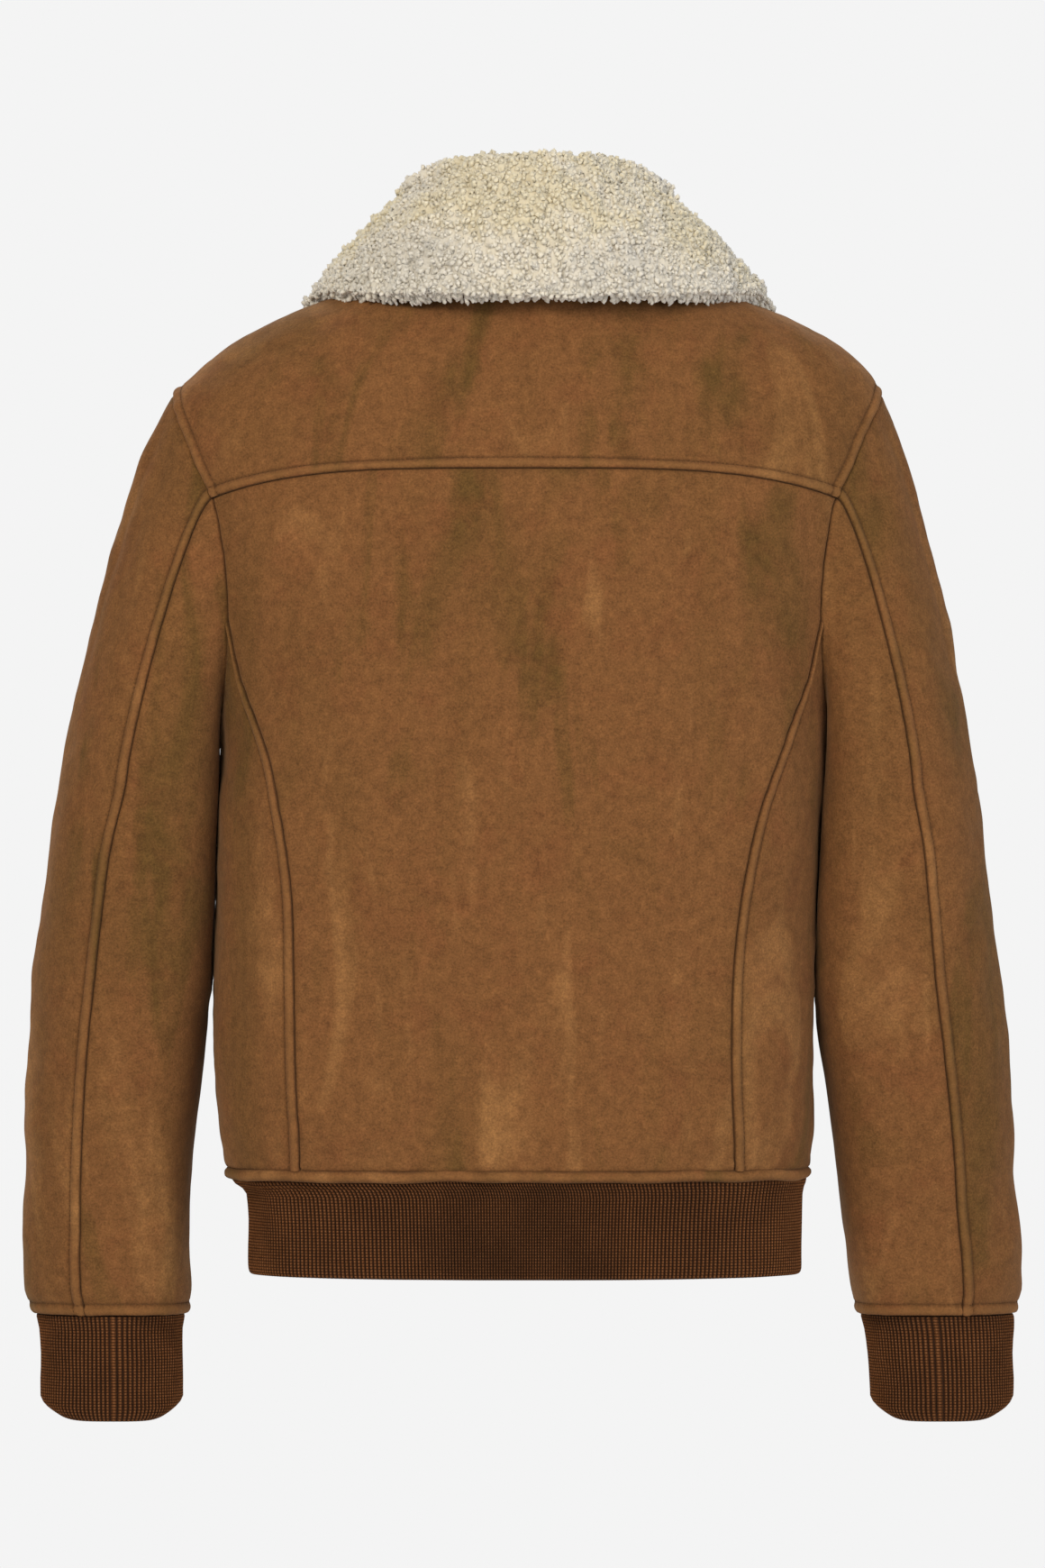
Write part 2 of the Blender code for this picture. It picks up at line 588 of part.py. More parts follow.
def flank_x(side, y, z):
    """How far the body reaches to this side, at a depth and height."""
    a, n, back, front, centre = (
        column(TORSO_RINGS, TORSO_COLUMNS, name, z)
        for name in ("half_width", "squareness", "back", "front", "centre_x")
    )
    b = np.where(y > 0, back, front)
    reach = a * np.maximum(1 - (np.abs(y) / b) ** n, 0.0) ** (1 / n)
    return np.where(z > HEM_Z, reach + (centre if side == "left" else -centre), 0.0)


def sleeve_degrees(z):
    """Each grid column's place round the sleeve: under half from back seam to front seam, then
    the top half on to the back seam again."""
    back = float(column(SLEEVE_BACK_SEAM, SLEEVE_SEAM_COLUMNS, "degrees", z))
    under_parts = sum(ARMHOLE_PARTS[1:4])
    top_parts = ARMHOLE_PARTS[4] + ARMHOLE_PARTS[0]
    under = np.linspace(back, SLEEVE_FRONT_SEAM_DEGREES, under_parts + 1)
    top = np.linspace(SLEEVE_FRONT_SEAM_DEGREES, 360.0 + back, top_parts + 1)
    return np.concatenate([under, top[1:]])


def armhole_frame(side):
    """The armhole's outer points, the torso's normals there and the directions into the hole."""
    degrees = np.concatenate([armhole_degrees(1, 5), armhole_degrees(0, 1)[1:] + 360.0])
    step = 0.5

    def on_torso(at):
        angle, z = np.moveaxis(armhole_seam(at % 360.0), -1, 0)
        angle = angle if side == "left" else -angle
        return torso(angle, z), normals_on(torso, angle, z)

    points, normal = on_torso(degrees)
    along = unit(on_torso(degrees + step)[0] - on_torso(degrees - step)[0])
    inward = unit(np.cross(normal, along))
    centre = points.mean(axis=0)
    facing = ((centre - points) * inward).sum(axis=-1)
    return degrees, points, normal, inward * np.sign(facing)[:, None]


def cap_surface(side):
    """The sleeve's outer and inner points, from the armhole down to its hem, as one grid.

    Each column leaves the armhole along a direction that turns from 'on over the shoulder' at the
    tip to 'straight out' at the armpit, and joins the tube (a Hermite curve). The wall's direction
    turns with it, from the torso's wall to the sleeve's own.
    """
    degrees, start, torso_normal, into = armhole_frame(side)
    z = SLEEVE_TOP_RING_Z
    place = sleeve_degrees(z)
    end = sleeve_tube(side, place, z)
    down = unit(sleeve_tube(side, place, z - 0.002) - end)
    lift_out = math.pi / 4 * (1 - np.cos(np.radians(degrees)))
    leave = np.cos(lift_out)[:, None] * into + np.sin(lift_out)[:, None] * torso_normal
    length = np.linalg.norm(end - start, axis=-1)[:, None]
    from_tip = (degrees % 360.0)[:, None]
    first = length * column(CAP_LEAVE, CAP_LEAVE_COLUMNS, "pull", from_tip, key="degrees")
    last = 0.62 * length
    start = start + into * EDGE_TRIM
    rows = []
    for t in SLEEVE_CAP_STEPS:
        rows.append(
            (1 + 2 * t) * (1 - t) ** 2 * start + t * (1 - t) ** 2 * first * leave
            + t * t * (3 - 2 * t) * end + t * t * (t - 1) * last * down
        )
    cap = np.stack(rows)
    zs = np.linspace(z, SLEEVE_HEM_Z, 9)[1:]
    tube = np.stack([sleeve_tube(side, sleeve_degrees(at), at) for at in zs])
    outer = np.concatenate([cap, tube])

    ring = outer[:, :-1]
    around = np.roll(ring, -1, axis=1) - np.roll(ring, 1, axis=1)
    lengthwise = np.gradient(ring, axis=0)
    normal = unit(np.cross(around, lengthwise))
    middle = ring.mean(axis=1, keepdims=True)
    away = (normal * (ring - middle)).sum(axis=-1).mean()
    normal = normal * np.sign(away)
    own = -np.concatenate([normal, normal[:, :1]], axis=1)
    turn_rows = 3  # rows from the armhole in which the wall turns over
    target = own[turn_rows]
    angle = np.arctan2((target * into).sum(-1), (-target * torso_normal).sum(-1))
    angle = np.where(angle < -math.pi / 2, angle + 2 * math.pi, angle)
    direction = own.copy()
    for row in range(turn_rows):
        part = (angle * (row / turn_rows) ** 0.7)[:, None]
        direction[row] = -np.cos(part) * torso_normal + np.sin(part) * into
    return outer, direction


def sleeve(side):
    """Under half and top half of a sleeve; the top half laps over the under half at the back."""
    outer, direction = cap_surface(side)
    split = sum(ARMHOLE_PARTS[1:4])
    under, top = slice(0, split + 1), slice(split, outer.shape[1])
    inner = outer + SKIN_WALL * direction
    hem_lift = np.zeros((outer.shape[0], 1, 1))
    hem_lift[-2:] = -0.0008  # the turned edge stands proud
    wall("sleeve_under_" + side, "suede",
         trimmed((outer + hem_lift * direction)[:, under]), trimmed(inner[:, under]))

    out, way = outer[:, top], direction[:, top]
    edge, inside = out[:, -1:], out[:, -2:-1]
    length = np.linalg.norm(edge - inside, axis=-1, keepdims=True)
    lines, ways, heights = [], [], []
    for d, h in reversed(BAND_STEPS):
        share = np.minimum(d / length, 0.8)
        lines.append(edge + (inside - edge) * share)
        ways.append(unit(way[:, -1:] + (way[:, -2:-1] - way[:, -1:]) * share))
        heights.append(np.full((out.shape[0], 1, 1), h))
    base = np.concatenate([out[:, :-1], *lines], axis=1)
    way = np.concatenate([way[:, :-1], *ways], axis=1)
    height = np.concatenate([np.zeros((out.shape[0], out.shape[1] - 1, 1)), *heights], axis=1)
    height[0] = 0.0
    height[-2:] = np.maximum(height[-2:], 0.0008)
    wall("sleeve_top_" + side, "suede", trimmed(base - height * way),
         trimmed(base + SKIN_WALL * way))


def cuff(side):
    """Ribbed knit tube, its lower edge rounded off at the two sides."""
    columns = 2 * CUFF_RIBS
    degrees = np.linspace(0.0, 360.0, columns, endpoint=False)
    rows = np.array([0.0, 0.12, 0.90, 1.0])[:, None]
    c, s = np.cos(np.radians(degrees)), np.sin(np.radians(degrees))
    bottom = CUFF_BOTTOM_Z + 0.008 * np.abs(c) ** 5
    top = SLEEVE_HEM_Z - 0.0006
    z = top + (bottom[None, :] - top) * rows
    inner_x, outer_x, b, y0 = (
        column(SLEEVE_RINGS, SLEEVE_COLUMNS, name, z)
        for name in (side + "_inner", side + "_outer", "half_depth", "centre_y")
    )
    draw_in = np.array([0.0012, 0.0, 0.0, 0.0045])[:, None]
    across = np.where(c < 0, -np.abs(c) ** 0.8, c)[None, :]
    x = (inner_x + outer_x) / 2 + ((outer_x - inner_x) / 2 - draw_in) * across
    base = np.stack([x, y0 + (b - draw_in / 3) * s[None, :], z], axis=-1)
    around = np.roll(base, -1, axis=1) - np.roll(base, 1, axis=1)
    normal = unit(np.cross(np.gradient(base, axis=0), around)) * (1.0, 1.0, 0.0)
    ridge = np.array([0.3, 1.0, 1.0, 0.3])[:, None, None]
    thinner = np.array([0.0, 0.0, 0.0, 0.0008])[:, None, None]
    outer = base + (ridge * ribs(CUFF_RIBS, columns)[None, :, None] - RIB_HEIGHT - thinner) * normal
    inner = base - (RIB_HEIGHT + KNIT_WALL - thinner) * normal
    if side == "right":
        outer, inner = outer * (-1.0, 1.0, 1.0), inner * (-1.0, 1.0, 1.0)
    wall("cuff_" + side, "knit", trimmed(outer, closed=True), trimmed(inner, closed=True), closed=True)


def collar():
    """One sheepskin band: up from the neck seam as a stand, over the roll, down as the fall.

    A section is a smooth curve in the (radius, height) plane through seam, stand, roll, fall and
    edge; its angle round the neck runs from the seam's to the edge's.
    """
    share = np.linspace(-1.0, 1.0, 2 * COLLAR_PARTS + 1)
    sign = np.sign(share)

    def read(name):
        return column(COLLAR_SECTIONS, COLLAR_COLUMNS, name, np.abs(share), key="share")

    seam_angle = np.radians(read("seam_angle"))
    roll_angle, edge_angle = np.radians(read("roll_angle")), np.radians(read("edge_angle"))
    seam_z = neck_z(seam_angle)
    outer_face = ring_radius(TORSO_RINGS, seam_angle, seam_z)
    seam = np.stack([outer_face - SKIN_WALL / 2, seam_z + 0.0012], axis=-1)
    roll = np.stack([read("roll_radius"), read("roll_z")], axis=-1)
    edge = np.stack([read("edge_radius"), read("edge_z")], axis=-1)
    r = COLLAR_ROLL_RADIUS
    up = roll + (-r, -0.003)
    over = roll + (0.0, 0.75 * r)
    down = roll + (r, -0.003)
    stand = seam + (up - seam) * 0.5 + (0.0015, 0.0)
    fall_high = down + (edge - down) * 0.33 + (0.0035, 0.0040)
    fall_low = down + (edge - down) * 0.70 + (0.0030, 0.0035)
    knots = np.stack([seam, stand, up, over, down, fall_high, fall_low, edge])
    knot_angle = np.stack([
        seam_angle, (seam_angle + roll_angle) / 2, roll_angle, roll_angle, roll_angle,
        roll_angle + (edge_angle - roll_angle) * 0.33,
        roll_angle + (edge_angle - roll_angle) * 0.70, edge_angle,
    ])
    place = np.array([0, 0.5, 1, 1.5, 2, 2.5, 3, 3.5, 4, 4.5, 5, 5.5, 6, 6.6, 7.0])
    line = spline(knots, place)
    angle = spline(knot_angle[..., None], place)[..., 0] * sign
    seam_part = np.clip(place / 1.5, 0.0, 1.0)
    half = (SKIN_WALL + (COLLAR_WALL - SKIN_WALL) * seam_part) / 2
    half[-1] *= 0.55
    on_body = np.clip((place - 3.5) / 0.5, 0.0, 1.0)[:, None]
    radius, z = clear_of_body(line[..., 0], line[..., 1], angle, on_body, half[:, None])
    centre = column(TORSO_RINGS, TORSO_COLUMNS, "centre_x", seam_z)
    centre = centre + COLLAR_LEAN * np.clip(place[:, None] / 7.0, 0.0, 1.0) ** 2
    middle = np.stack([centre + radius * np.sin(angle), radius * np.cos(angle), z], axis=-1)
    around = np.gradient(middle, axis=1)
    along = np.gradient(middle, axis=0)
    normal = unit(np.cross(around, along))
    half = half[:, None, None]
    wall("collar", "wool", trimmed(middle + half * normal), trimmed(middle - half * normal))


def clear_of_body(radius, z, angle, weight, half):
    """Moves the fall's points out along the body's normal to where its underside lies clear."""
    for _ in range(6):
        surface = ring_radius(TORSO_RINGS, angle, z)
        slope = (ring_radius(TORSO_RINGS, angle, z + 0.001) - surface) / 0.001
        slant = np.sqrt(1 + slope**2)
        short = weight * np.maximum(half + COLLAR_CLEARANCE - (radius - surface) / slant, 0.0)
        radius, z = radius + short / slant, z - short * slope / slant
    return radius, z


def spline(knots, at):
    """Catmull-Rom curve through the knots, which are the first axis."""
    first, last = 2 * knots[0] - knots[1], 2 * knots[-1] - knots[-2]
    all_knots = np.concatenate([first[None], knots, last[None]])
    cell = np.clip(at.astype(int), 0, len(knots) - 2)
    t = (at - cell).reshape(-1, *([1] * (knots.ndim - 1)))
    p0, p1, p2, p3 = (all_knots[cell + k] for k in range(4))
    return 0.5 * (
        2 * p1 + (p2 - p0) * t + (2 * p0 - 5 * p1 + 4 * p2 - p3) * t**2
        + (3 * p1 - p0 - 3 * p2 + p3) * t**3
    )


def zip_face(z):
    """Distance forward of the plane that the tapes' outer faces lie in: behind fronts and knit."""
    body = column(TORSO_RINGS, TORSO_COLUMNS, "front", z) - SKIN_WALL
    band = column(WAISTBAND_RINGS, TORSO_COLUMNS, "front", z) - KNIT_WALL
    low = np.clip((WELT_BOTTOM_Z + 0.006 - z) / 0.006, 0.0, 1.0)
    return np.minimum(body, body * (1 - low) + band * low) - 0.0010


def zip_strip(name, finish, xs, front_depth, back_depth):
    """A strip that follows the front from neck to waistband edge, between two depths."""
    z = np.linspace(ZIP_TOP_Z, WAISTBAND_BOTTOM_Z, 22)[:, None]
    z, x = np.broadcast_arrays(z, np.array(xs)[None, :])
    centre = column(TORSO_RINGS, TORSO_COLUMNS, "centre_x", z)
    band_centre = column(WAISTBAND_RINGS, TORSO_COLUMNS, "centre_x", z)
    centre = np.where(z < WELT_BOTTOM_Z, band_centre, centre)
    face = zip_face(z)
    outer = np.stack([centre + x, -(face + front_depth), z], axis=-1)
    inner = np.stack([centre + x, -(face - back_depth), z], axis=-1)
    wall(name, finish, outer, inner)


def zip_parts():
    """Two tapes, the closed chain between them, the slider at the top and its hinged pull."""
    start = CHAIN_HALF_WIDTH + 0.0004
    end = start + TAPE_WIDTH
    zip_strip("zip_tape_left", "tape", (start, end), 0.0, TAPE_THICKNESS)
    zip_strip("zip_tape_right", "tape", (-end, -start), 0.0, TAPE_THICKNESS)
    zip_strip("zip_chain", "brass", (-CHAIN_HALF_WIDTH, CHAIN_HALF_WIDTH),
              CHAIN_DEPTH - TAPE_THICKNESS, TAPE_THICKNESS)
    slider_and_pull()


def slider_place():
    """(point on the chain's front face at the slider, lean of the front there)."""
    chain_front = CHAIN_DEPTH - TAPE_THICKNESS
    y = -(zip_face(SLIDER_Z) + chain_front)
    step = 0.010
    lean = math.atan2(zip_face(SLIDER_Z - step) - zip_face(SLIDER_Z + step), 2 * step)
    x = column(TORSO_RINGS, TORSO_COLUMNS, "centre_x", SLIDER_Z)
    return (float(x), float(y), SLIDER_Z), lean


SLIDER_WIDTH, SLIDER_HEIGHT, SLIDER_THICKNESS = 0.0088, 0.0120, 0.0018
PIVOT_FORWARD = 0.0044  # of the pull's axis before the chain's face
PIVOT_UP = 0.0020
PULL_LENGTH = 0.030


def extruded(points, half_width):
    """A flat outline in the (forward, up) plane given its width across, as a mesh."""
    mesh = bmesh.new()
    ring = [mesh.verts.new((-half_width, -f, u)) for f, u in points]
    face = mesh.faces.new(ring)
    moved = bmesh.ops.extrude_face_region(mesh, geom=[face])["geom"]
    verts = [v for v in moved if isinstance(v, bmesh.types.BMVert)]
    bmesh.ops.translate(mesh, verts=verts, vec=(2 * half_width, 0.0, 0.0))
    data = bpy.data.meshes.new("outline")
    mesh.to_mesh(data)
    mesh.free()
    return data


def arc(centre, radius, first, last, steps):
    turn = np.radians(np.linspace(first, last, steps))
    return [(centre[0] + radius * math.cos(a), centre[1] + radius * math.sin(a)) for a in turn]


def slider_and_pull():
    """The slider's front plate with its bail, and the pull whose bar turns inside the bail."""
    place, lean = slider_place()
    gap = 0.0003
    half = SLIDER_HEIGHT / 2
    plate = [(gap, -half), (gap + SLIDER_THICKNESS, -half + 0.0012),
             (gap + SLIDER_THICKNESS, half - 0.0012), (gap, half)]
    slider = solid_object("zip_slider", "brass", extruded(plate, SLIDER_WIDTH / 2))
    pivot = (PIVOT_FORWARD, PIVOT_UP)
    root = gap + SLIDER_THICKNESS - 0.0006
    bail = [(root, pivot[1] + 0.0030), *arc(pivot, 0.0030, 90, -90, 9), (root, pivot[1] - 0.0030),
            (root, pivot[1] - 0.0018), *arc(pivot, 0.0018, -90, 90, 9), (root, pivot[1] + 0.0018)]
    bail = solid_object("slider_bail", "brass", extruded(bail, 0.0007))
    bail.hide_render = True
    bail.display_type = "WIRE"
    join = slider.modifiers.new("bail", "BOOLEAN")
    join.operation = "UNION"
    join.object = bail
    for piece in (slider, bail):
        piece.location = place
        piece.rotation_euler = (-lean, 0.0, 0.0)

    pull = solid_object("zip_pull", "brass", pull_mesh())
    axis = bpy.data.objects.new("pull_axis", None)
    bpy.context.scene.collection.objects.link(axis)
    turn = np.array([
        [1, 0, 0], [0, math.cos(lean), math.sin(lean)], [0, -math.sin(lean), math.cos(lean)],
    ])
    axis.location = np.array(place) + turn @ np.array([0.0, -PIVOT_FORWARD, PIVOT_UP])
    axis.rotation_euler = (-lean, 0.0, 0.0)
    pull.parent = axis


def pull_mesh():
    """A flat tab hanging from its own origin, with a window for the bail at its top."""
    outline = [(-0.0026, 0.0006), (-0.0036, -0.0100), (-0.0036, -0.0270), (-0.0022, -0.0300)]
    outline += [(-x, z) for x, z in reversed(outline)]
    window = [(-0.0016, -0.0006), (-0.0016, -0.0062), (0.0016, -0.0062), (0.0016, -0.0006)]
    mesh = bmesh.new()
    half = 0.0006
    loops = []
    for points in (outline, window):
        for y in (-half, half):
            loops.append([mesh.verts.new((x, y, z)) for x, z in points])
    for near, far in ((loops[0], loops[1]), (loops[2], loops[3])):
        for i in range(len(near)):
            j = (i + 1) % len(near)
            mesh.faces.new((near[i], near[j], far[j], far[i]))
    for outer, inner in ((loops[0], loops[2]), (loops[1], loops[3])):
        edges = []
        for loop in (outer, inner):
            for i in range(len(loop)):
                edges.append(mesh.edges.get((loop[i], loop[(i + 1) % len(loop)])))
        bmesh.ops.triangle_fill(mesh, use_beauty=True, edges=edges)
    data = bpy.data.meshes.new("pull")
    mesh.to_mesh(data)
    mesh.free()
    return data


def main():
    clear_scene()
    body_panels()
    hem_welt()
    waistband()
    for side in ("left", "right"):
        sleeve(side)
        cuff(side)
    collar()
    zip_parts()


main()
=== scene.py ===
"""Looks of the shearling blouson: suede panels, curly wool collar, rib knit, zip, light and camera.

Metres, +Z up, in the packed model's frame. Every piece repeats the part's own surfaces more finely
and keeps its place, so each vertex is worked out from a formula on a numpy grid.
"""

import math

import bpy
import numpy as np
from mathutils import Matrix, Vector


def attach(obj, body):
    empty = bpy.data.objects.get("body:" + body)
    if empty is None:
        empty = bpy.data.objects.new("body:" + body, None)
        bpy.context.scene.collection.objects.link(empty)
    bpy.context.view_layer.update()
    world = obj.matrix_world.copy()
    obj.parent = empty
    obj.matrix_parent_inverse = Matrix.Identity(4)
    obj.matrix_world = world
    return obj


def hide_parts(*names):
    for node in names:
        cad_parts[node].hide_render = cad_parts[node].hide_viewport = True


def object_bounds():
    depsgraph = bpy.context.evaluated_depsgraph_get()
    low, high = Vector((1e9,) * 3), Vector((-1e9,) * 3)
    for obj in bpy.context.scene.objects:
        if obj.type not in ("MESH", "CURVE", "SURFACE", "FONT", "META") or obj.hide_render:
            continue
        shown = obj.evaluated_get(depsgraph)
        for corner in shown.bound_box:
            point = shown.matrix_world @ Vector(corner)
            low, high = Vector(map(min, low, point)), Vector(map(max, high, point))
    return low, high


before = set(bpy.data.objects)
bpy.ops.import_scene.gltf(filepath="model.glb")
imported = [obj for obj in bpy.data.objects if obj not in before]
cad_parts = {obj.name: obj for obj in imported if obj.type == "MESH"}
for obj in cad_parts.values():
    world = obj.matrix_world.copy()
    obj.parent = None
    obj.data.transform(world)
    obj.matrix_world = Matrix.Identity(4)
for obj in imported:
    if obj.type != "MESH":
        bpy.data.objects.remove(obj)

bl_info = {
    "name": "Shearling Blouson Looks",
    "version": (1, 0, 0),
    "blender": (4, 5, 0),
    "location": "3D View > Sidebar > Blouson",
    "description": "Builds the visible pieces of the blouson around its packed model",
    "category": "Object",
}

CAD_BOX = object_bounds()

# Sizes that the part's source gives
SKIN_WALL = 0.005
KNIT_WALL = 0.003
COLLAR_WALL = 0.010
EDGE_TRIM = 0.0002
ZIP_HALF_GAP = 0.0065
HEM_Z = -0.5770
WELT_BOTTOM_Z = -0.5840
WAISTBAND_BOTTOM_Z = -0.6460
WAISTBAND_SIDE_RISE = 0.0012
FRONT_NECK_Z = -0.078
SLEEVE_TOP_RING_Z = -0.330
SLEEVE_HEM_Z = -0.672
CUFF_BOTTOM_Z = -0.741

TORSO_COLUMNS = ("z", "half_width", "back", "front", "squareness", "centre_x")
TORSO_RINGS = (
    (0.0040, 0.0760, 0.0600, 0.0530, 2.00, -0.0065),
    (-0.0010, 0.0880, 0.0640, 0.0580, 2.00, -0.0065),
    (-0.0080, 0.1060, 0.0690, 0.0630, 2.00, -0.0065),
    (-0.0180, 0.1310, 0.0750, 0.0690, 2.00, -0.0065),
    (-0.0319, 0.1656, 0.0820, 0.0760, 2.00, -0.0065),
    (-0.0493, 0.1970, 0.0895, 0.0830, 2.05, -0.0065),
    (-0.0667, 0.2170, 0.0960, 0.0885, 2.10, -0.0050),
    (-0.0800, 0.2275, 0.1005, 0.0925, 2.10, -0.0020),
    (-0.0900, 0.2325, 0.1035, 0.0950, 2.12, -0.0010),
    (-0.1050, 0.2345, 0.1075, 0.0985, 2.15, 0.0000),
    (-0.1250, 0.2320, 0.1125, 0.1035, 2.25, 0.0000),
    (-0.1500, 0.2235, 0.1180, 0.1110, 2.30, 0.0000),
    (-0.1750, 0.2175, 0.1215, 0.1165, 2.40, 0.0000),
    (-0.2260, 0.2065, 0.1260, 0.1245, 2.50, 0.0000),
    (-0.2700, 0.1990, 0.1265, 0.1285, 2.60, 0.0000),
    (-0.3060, 0.1955, 0.1255, 0.1300, 2.85, 0.0000),
    (-0.3500, 0.1945, 0.1240, 0.1295, 3.05, 0.0030),
    (-0.4000, 0.1935, 0.1220, 0.1285, 3.20, 0.0050),
    (-0.4500, 0.1930, 0.1200, 0.1270, 3.20, 0.0070),
    (-0.4930, 0.1928, 0.1190, 0.1260, 3.20, 0.0072),
    (-0.5280, 0.1920, 0.1190, 0.1255, 3.10, 0.0064),
    (-0.5530, 0.1908, 0.1185, 0.1245, 3.00, 0.0050),
    (-0.5770, 0.1866, 0.1160, 0.1200, 2.85, 0.0044),
    (-0.5950, 0.1830, 0.1140, 0.1180, 2.80, 0.0020),
)
WAISTBAND_RINGS = (
    (-0.5700, 0.1845, 0.1140, 0.1180, 2.80, 0.0040),
    (-0.5840, 0.1835, 0.1130, 0.1175, 2.80, 0.0030),
    (-0.5920, 0.1778, 0.1105, 0.1155, 2.80, -0.0003),
    (-0.6120, 0.1768, 0.1090, 0.1140, 2.80, -0.0003),
    (-0.6360, 0.1768, 0.1080, 0.1125, 2.80, -0.0003),
    (-0.6560, 0.1760, 0.1070, 0.1115, 2.80, -0.0003),
)
# Troughs: angle from the centre back, lean in degrees a metre, top, bottom, width, depth
TORSO_FOLDS = (
    (-8.0, 70.0, -0.170, -0.400, 0.030, 0.0026),
    (-30.0, 10.0, -0.330, -0.560, 0.024, 0.0022),
    (-48.0, -25.0, -0.300, -0.540, 0.020, 0.0024),
    (12.0, 25.0, -0.430, -0.560, 0.018, 0.0024),
    (32.0, -15.0, -0.350, -0.555, 0.024, 0.0026),
    (51.0, 20.0, -0.310, -0.530, 0.020, 0.0022),
    (-16.0, -10.0, -0.480, -0.565, 0.014, 0.0018),
    (-68.0, -12.0, -0.340, -0.555, 0.022, 0.0028),
    (70.0, 18.0, -0.350, -0.560, 0.022, 0.0026),
    (118.0, -30.0, -0.270, -0.520, 0.026, 0.0030),
    (-116.0, 26.0, -0.280, -0.540, 0.026, 0.0030),
    (142.0, -14.0, -0.400, -0.560, 0.020, 0.0024),
    (-144.0, 18.0, -0.380, -0.560, 0.020, 0.0024),
)
ARMHOLE_MID_Z = -0.193
ARMHOLE_HALF_HEIGHT = 0.113
ARMHOLE_HALF_DEPTH = 0.068
ARMHOLE_STOPS = (0.0, 66.5, 107.0, 180.0, 252.0, 360.0)
ARMHOLE_PARTS = (6, 3, 4, 4, 6)
YOKE_CENTRE_Z = -0.1299
SIDE_SEAM_COLUMNS = ("z", "x")
BACK_SEAM = (
    (-0.5770, 0.1385),
    (-0.5200, 0.1390),
    (-0.4600, 0.1405),
    (-0.4100, 0.1435),
    (-0.3700, 0.1490),
    (-0.3300, 0.1580),
    (-0.2950, 0.1695),
    (-0.2620, 0.1820),
)
SEAM_PARTS = 8
SHOULDER_PARTS = 5
BACK_NECK_PARTS = 6
BACK_PARTS = 2 * SHOULDER_PARTS + BACK_NECK_PARTS
FRONT_NECK_PARTS = 7
SIDE_HEM_PARTS = 4

SLEEVE_COLUMNS = (
    "z", "left_inner", "left_outer", "right_inner", "right_outer", "half_depth", "centre_y",
)
SLEEVE_RINGS = (
    (-0.330, 0.1930, 0.2992, 0.1885, 0.2912, 0.0730, 0.002),
    (-0.400, 0.1950, 0.3094, 0.1840, 0.2995, 0.0710, 0.000),
    (-0.450, 0.1985, 0.3158, 0.1835, 0.3058, 0.0680, -0.005),
    (-0.493, 0.2052, 0.3198, 0.1890, 0.3109, 0.0655, -0.010),
    (-0.528, 0.2090, 0.3219, 0.1949, 0.3138, 0.0635, -0.014),
    (-0.563, 0.2134, 0.3225, 0.1995, 0.3167, 0.0615, -0.019),
    (-0.598, 0.2158, 0.3236, 0.2036, 0.3184, 0.0595, -0.024),
    (-0.632, 0.2163, 0.3240, 0.2082, 0.3210, 0.0575, -0.029),
    (-0.655, 0.2152, 0.3236, 0.2110, 0.3215, 0.0555, -0.032),
    (-0.672, 0.2182, 0.3165, 0.2160, 0.3170, 0.0525, -0.035),
    (-0.684, 0.2210, 0.3130, 0.2200, 0.3160, 0.0490, -0.037),
    (-0.719, 0.2205, 0.3130, 0.2232, 0.3165, 0.0480, -0.040),
    (-0.745, 0.2205, 0.3130, 0.2240, 0.3165, 0.0475, -0.042),
)
SLEEVE_CLEARANCE = 0.0012
INNER_ACROSS, INNER_DEPTH = 0.50, 0.80  # powers that square off the side next to the body
# How far a column of the cap runs on before it turns down, round from the shoulder tip
CAP_LEAVE_COLUMNS = ("degrees", "pull")
CAP_LEAVE = (
    (0.0, 0.62), (30.0, 0.50), (66.5, 0.26), (107.0, 0.20), (180.0, 0.12), (215.0, 0.40),
    (252.0, 0.62), (360.0, 0.62),
)
SLEEVE_SEAM_COLUMNS = ("z", "degrees")
SLEEVE_BACK_SEAM = ((-0.330, 81.0), (-0.383, 74.0), (-0.450, 73.0), (-0.672, 73.0))
SLEEVE_FRONT_SEAM_DEGREES = 252.0
# Troughs across a sleeve: middle and spread in degrees, height, slant, width, depth
SLEEVE_FOLDS = (
    (250.0, 70.0, -0.452, 0.020, 0.012, 0.0040),
    (285.0, 60.0, -0.488, -0.016, 0.013, 0.0032),
    (230.0, 55.0, -0.400, 0.024, 0.014, 0.0034),
    (110.0, 40.0, -0.360, -0.020, 0.016, 0.0026),
    (95.0, 45.0, -0.610, 0.012, 0.014, 0.0018),
    (20.0, 50.0, -0.585, -0.016, 0.018, 0.0020),
)
COLLAR_COLUMNS = (
    "share", "seam_angle", "roll_angle", "roll_radius", "roll_z", "edge_angle", "edge_radius",
    "edge_z",
)
COLLAR_SECTIONS = (
    (0.00, 0.0, 0.0, 0.0780, 0.0627, 0.0, 0.0950, -0.0200),
    (0.25, 45.0, 44.0, 0.0700, 0.0602, 42.0, 0.1160, -0.0180),
    (0.50, 90.0, 89.0, 0.0690, 0.0485, 86.0, 0.1385, -0.0155),
    (0.62, 112.0, 110.5, 0.0760, 0.0320, 103.0, 0.1525, -0.0290),
    (0.78, 140.0, 138.0, 0.0880, -0.0050, 125.0, 0.1560, -0.0860),
    (1.00, 175.5, 173.5, 0.0960, -0.0600, 151.0, 0.1300, -0.1620),
)
COLLAR_ROLL_RADIUS = 0.0078
COLLAR_LEAN = -0.0030
COLLAR_CLEARANCE = 0.0034
TAPE_WIDTH = 0.013
TAPE_THICKNESS = 0.0010
CHAIN_HALF_WIDTH = 0.0028
CHAIN_DEPTH = 0.0032
ZIP_TOP_Z = -0.0860

# Sizes of the looks
FINE = 8  # cells of a seam for each cell of the part's
INNER_STEP = 3  # the inner face keeps every third line of the outer one

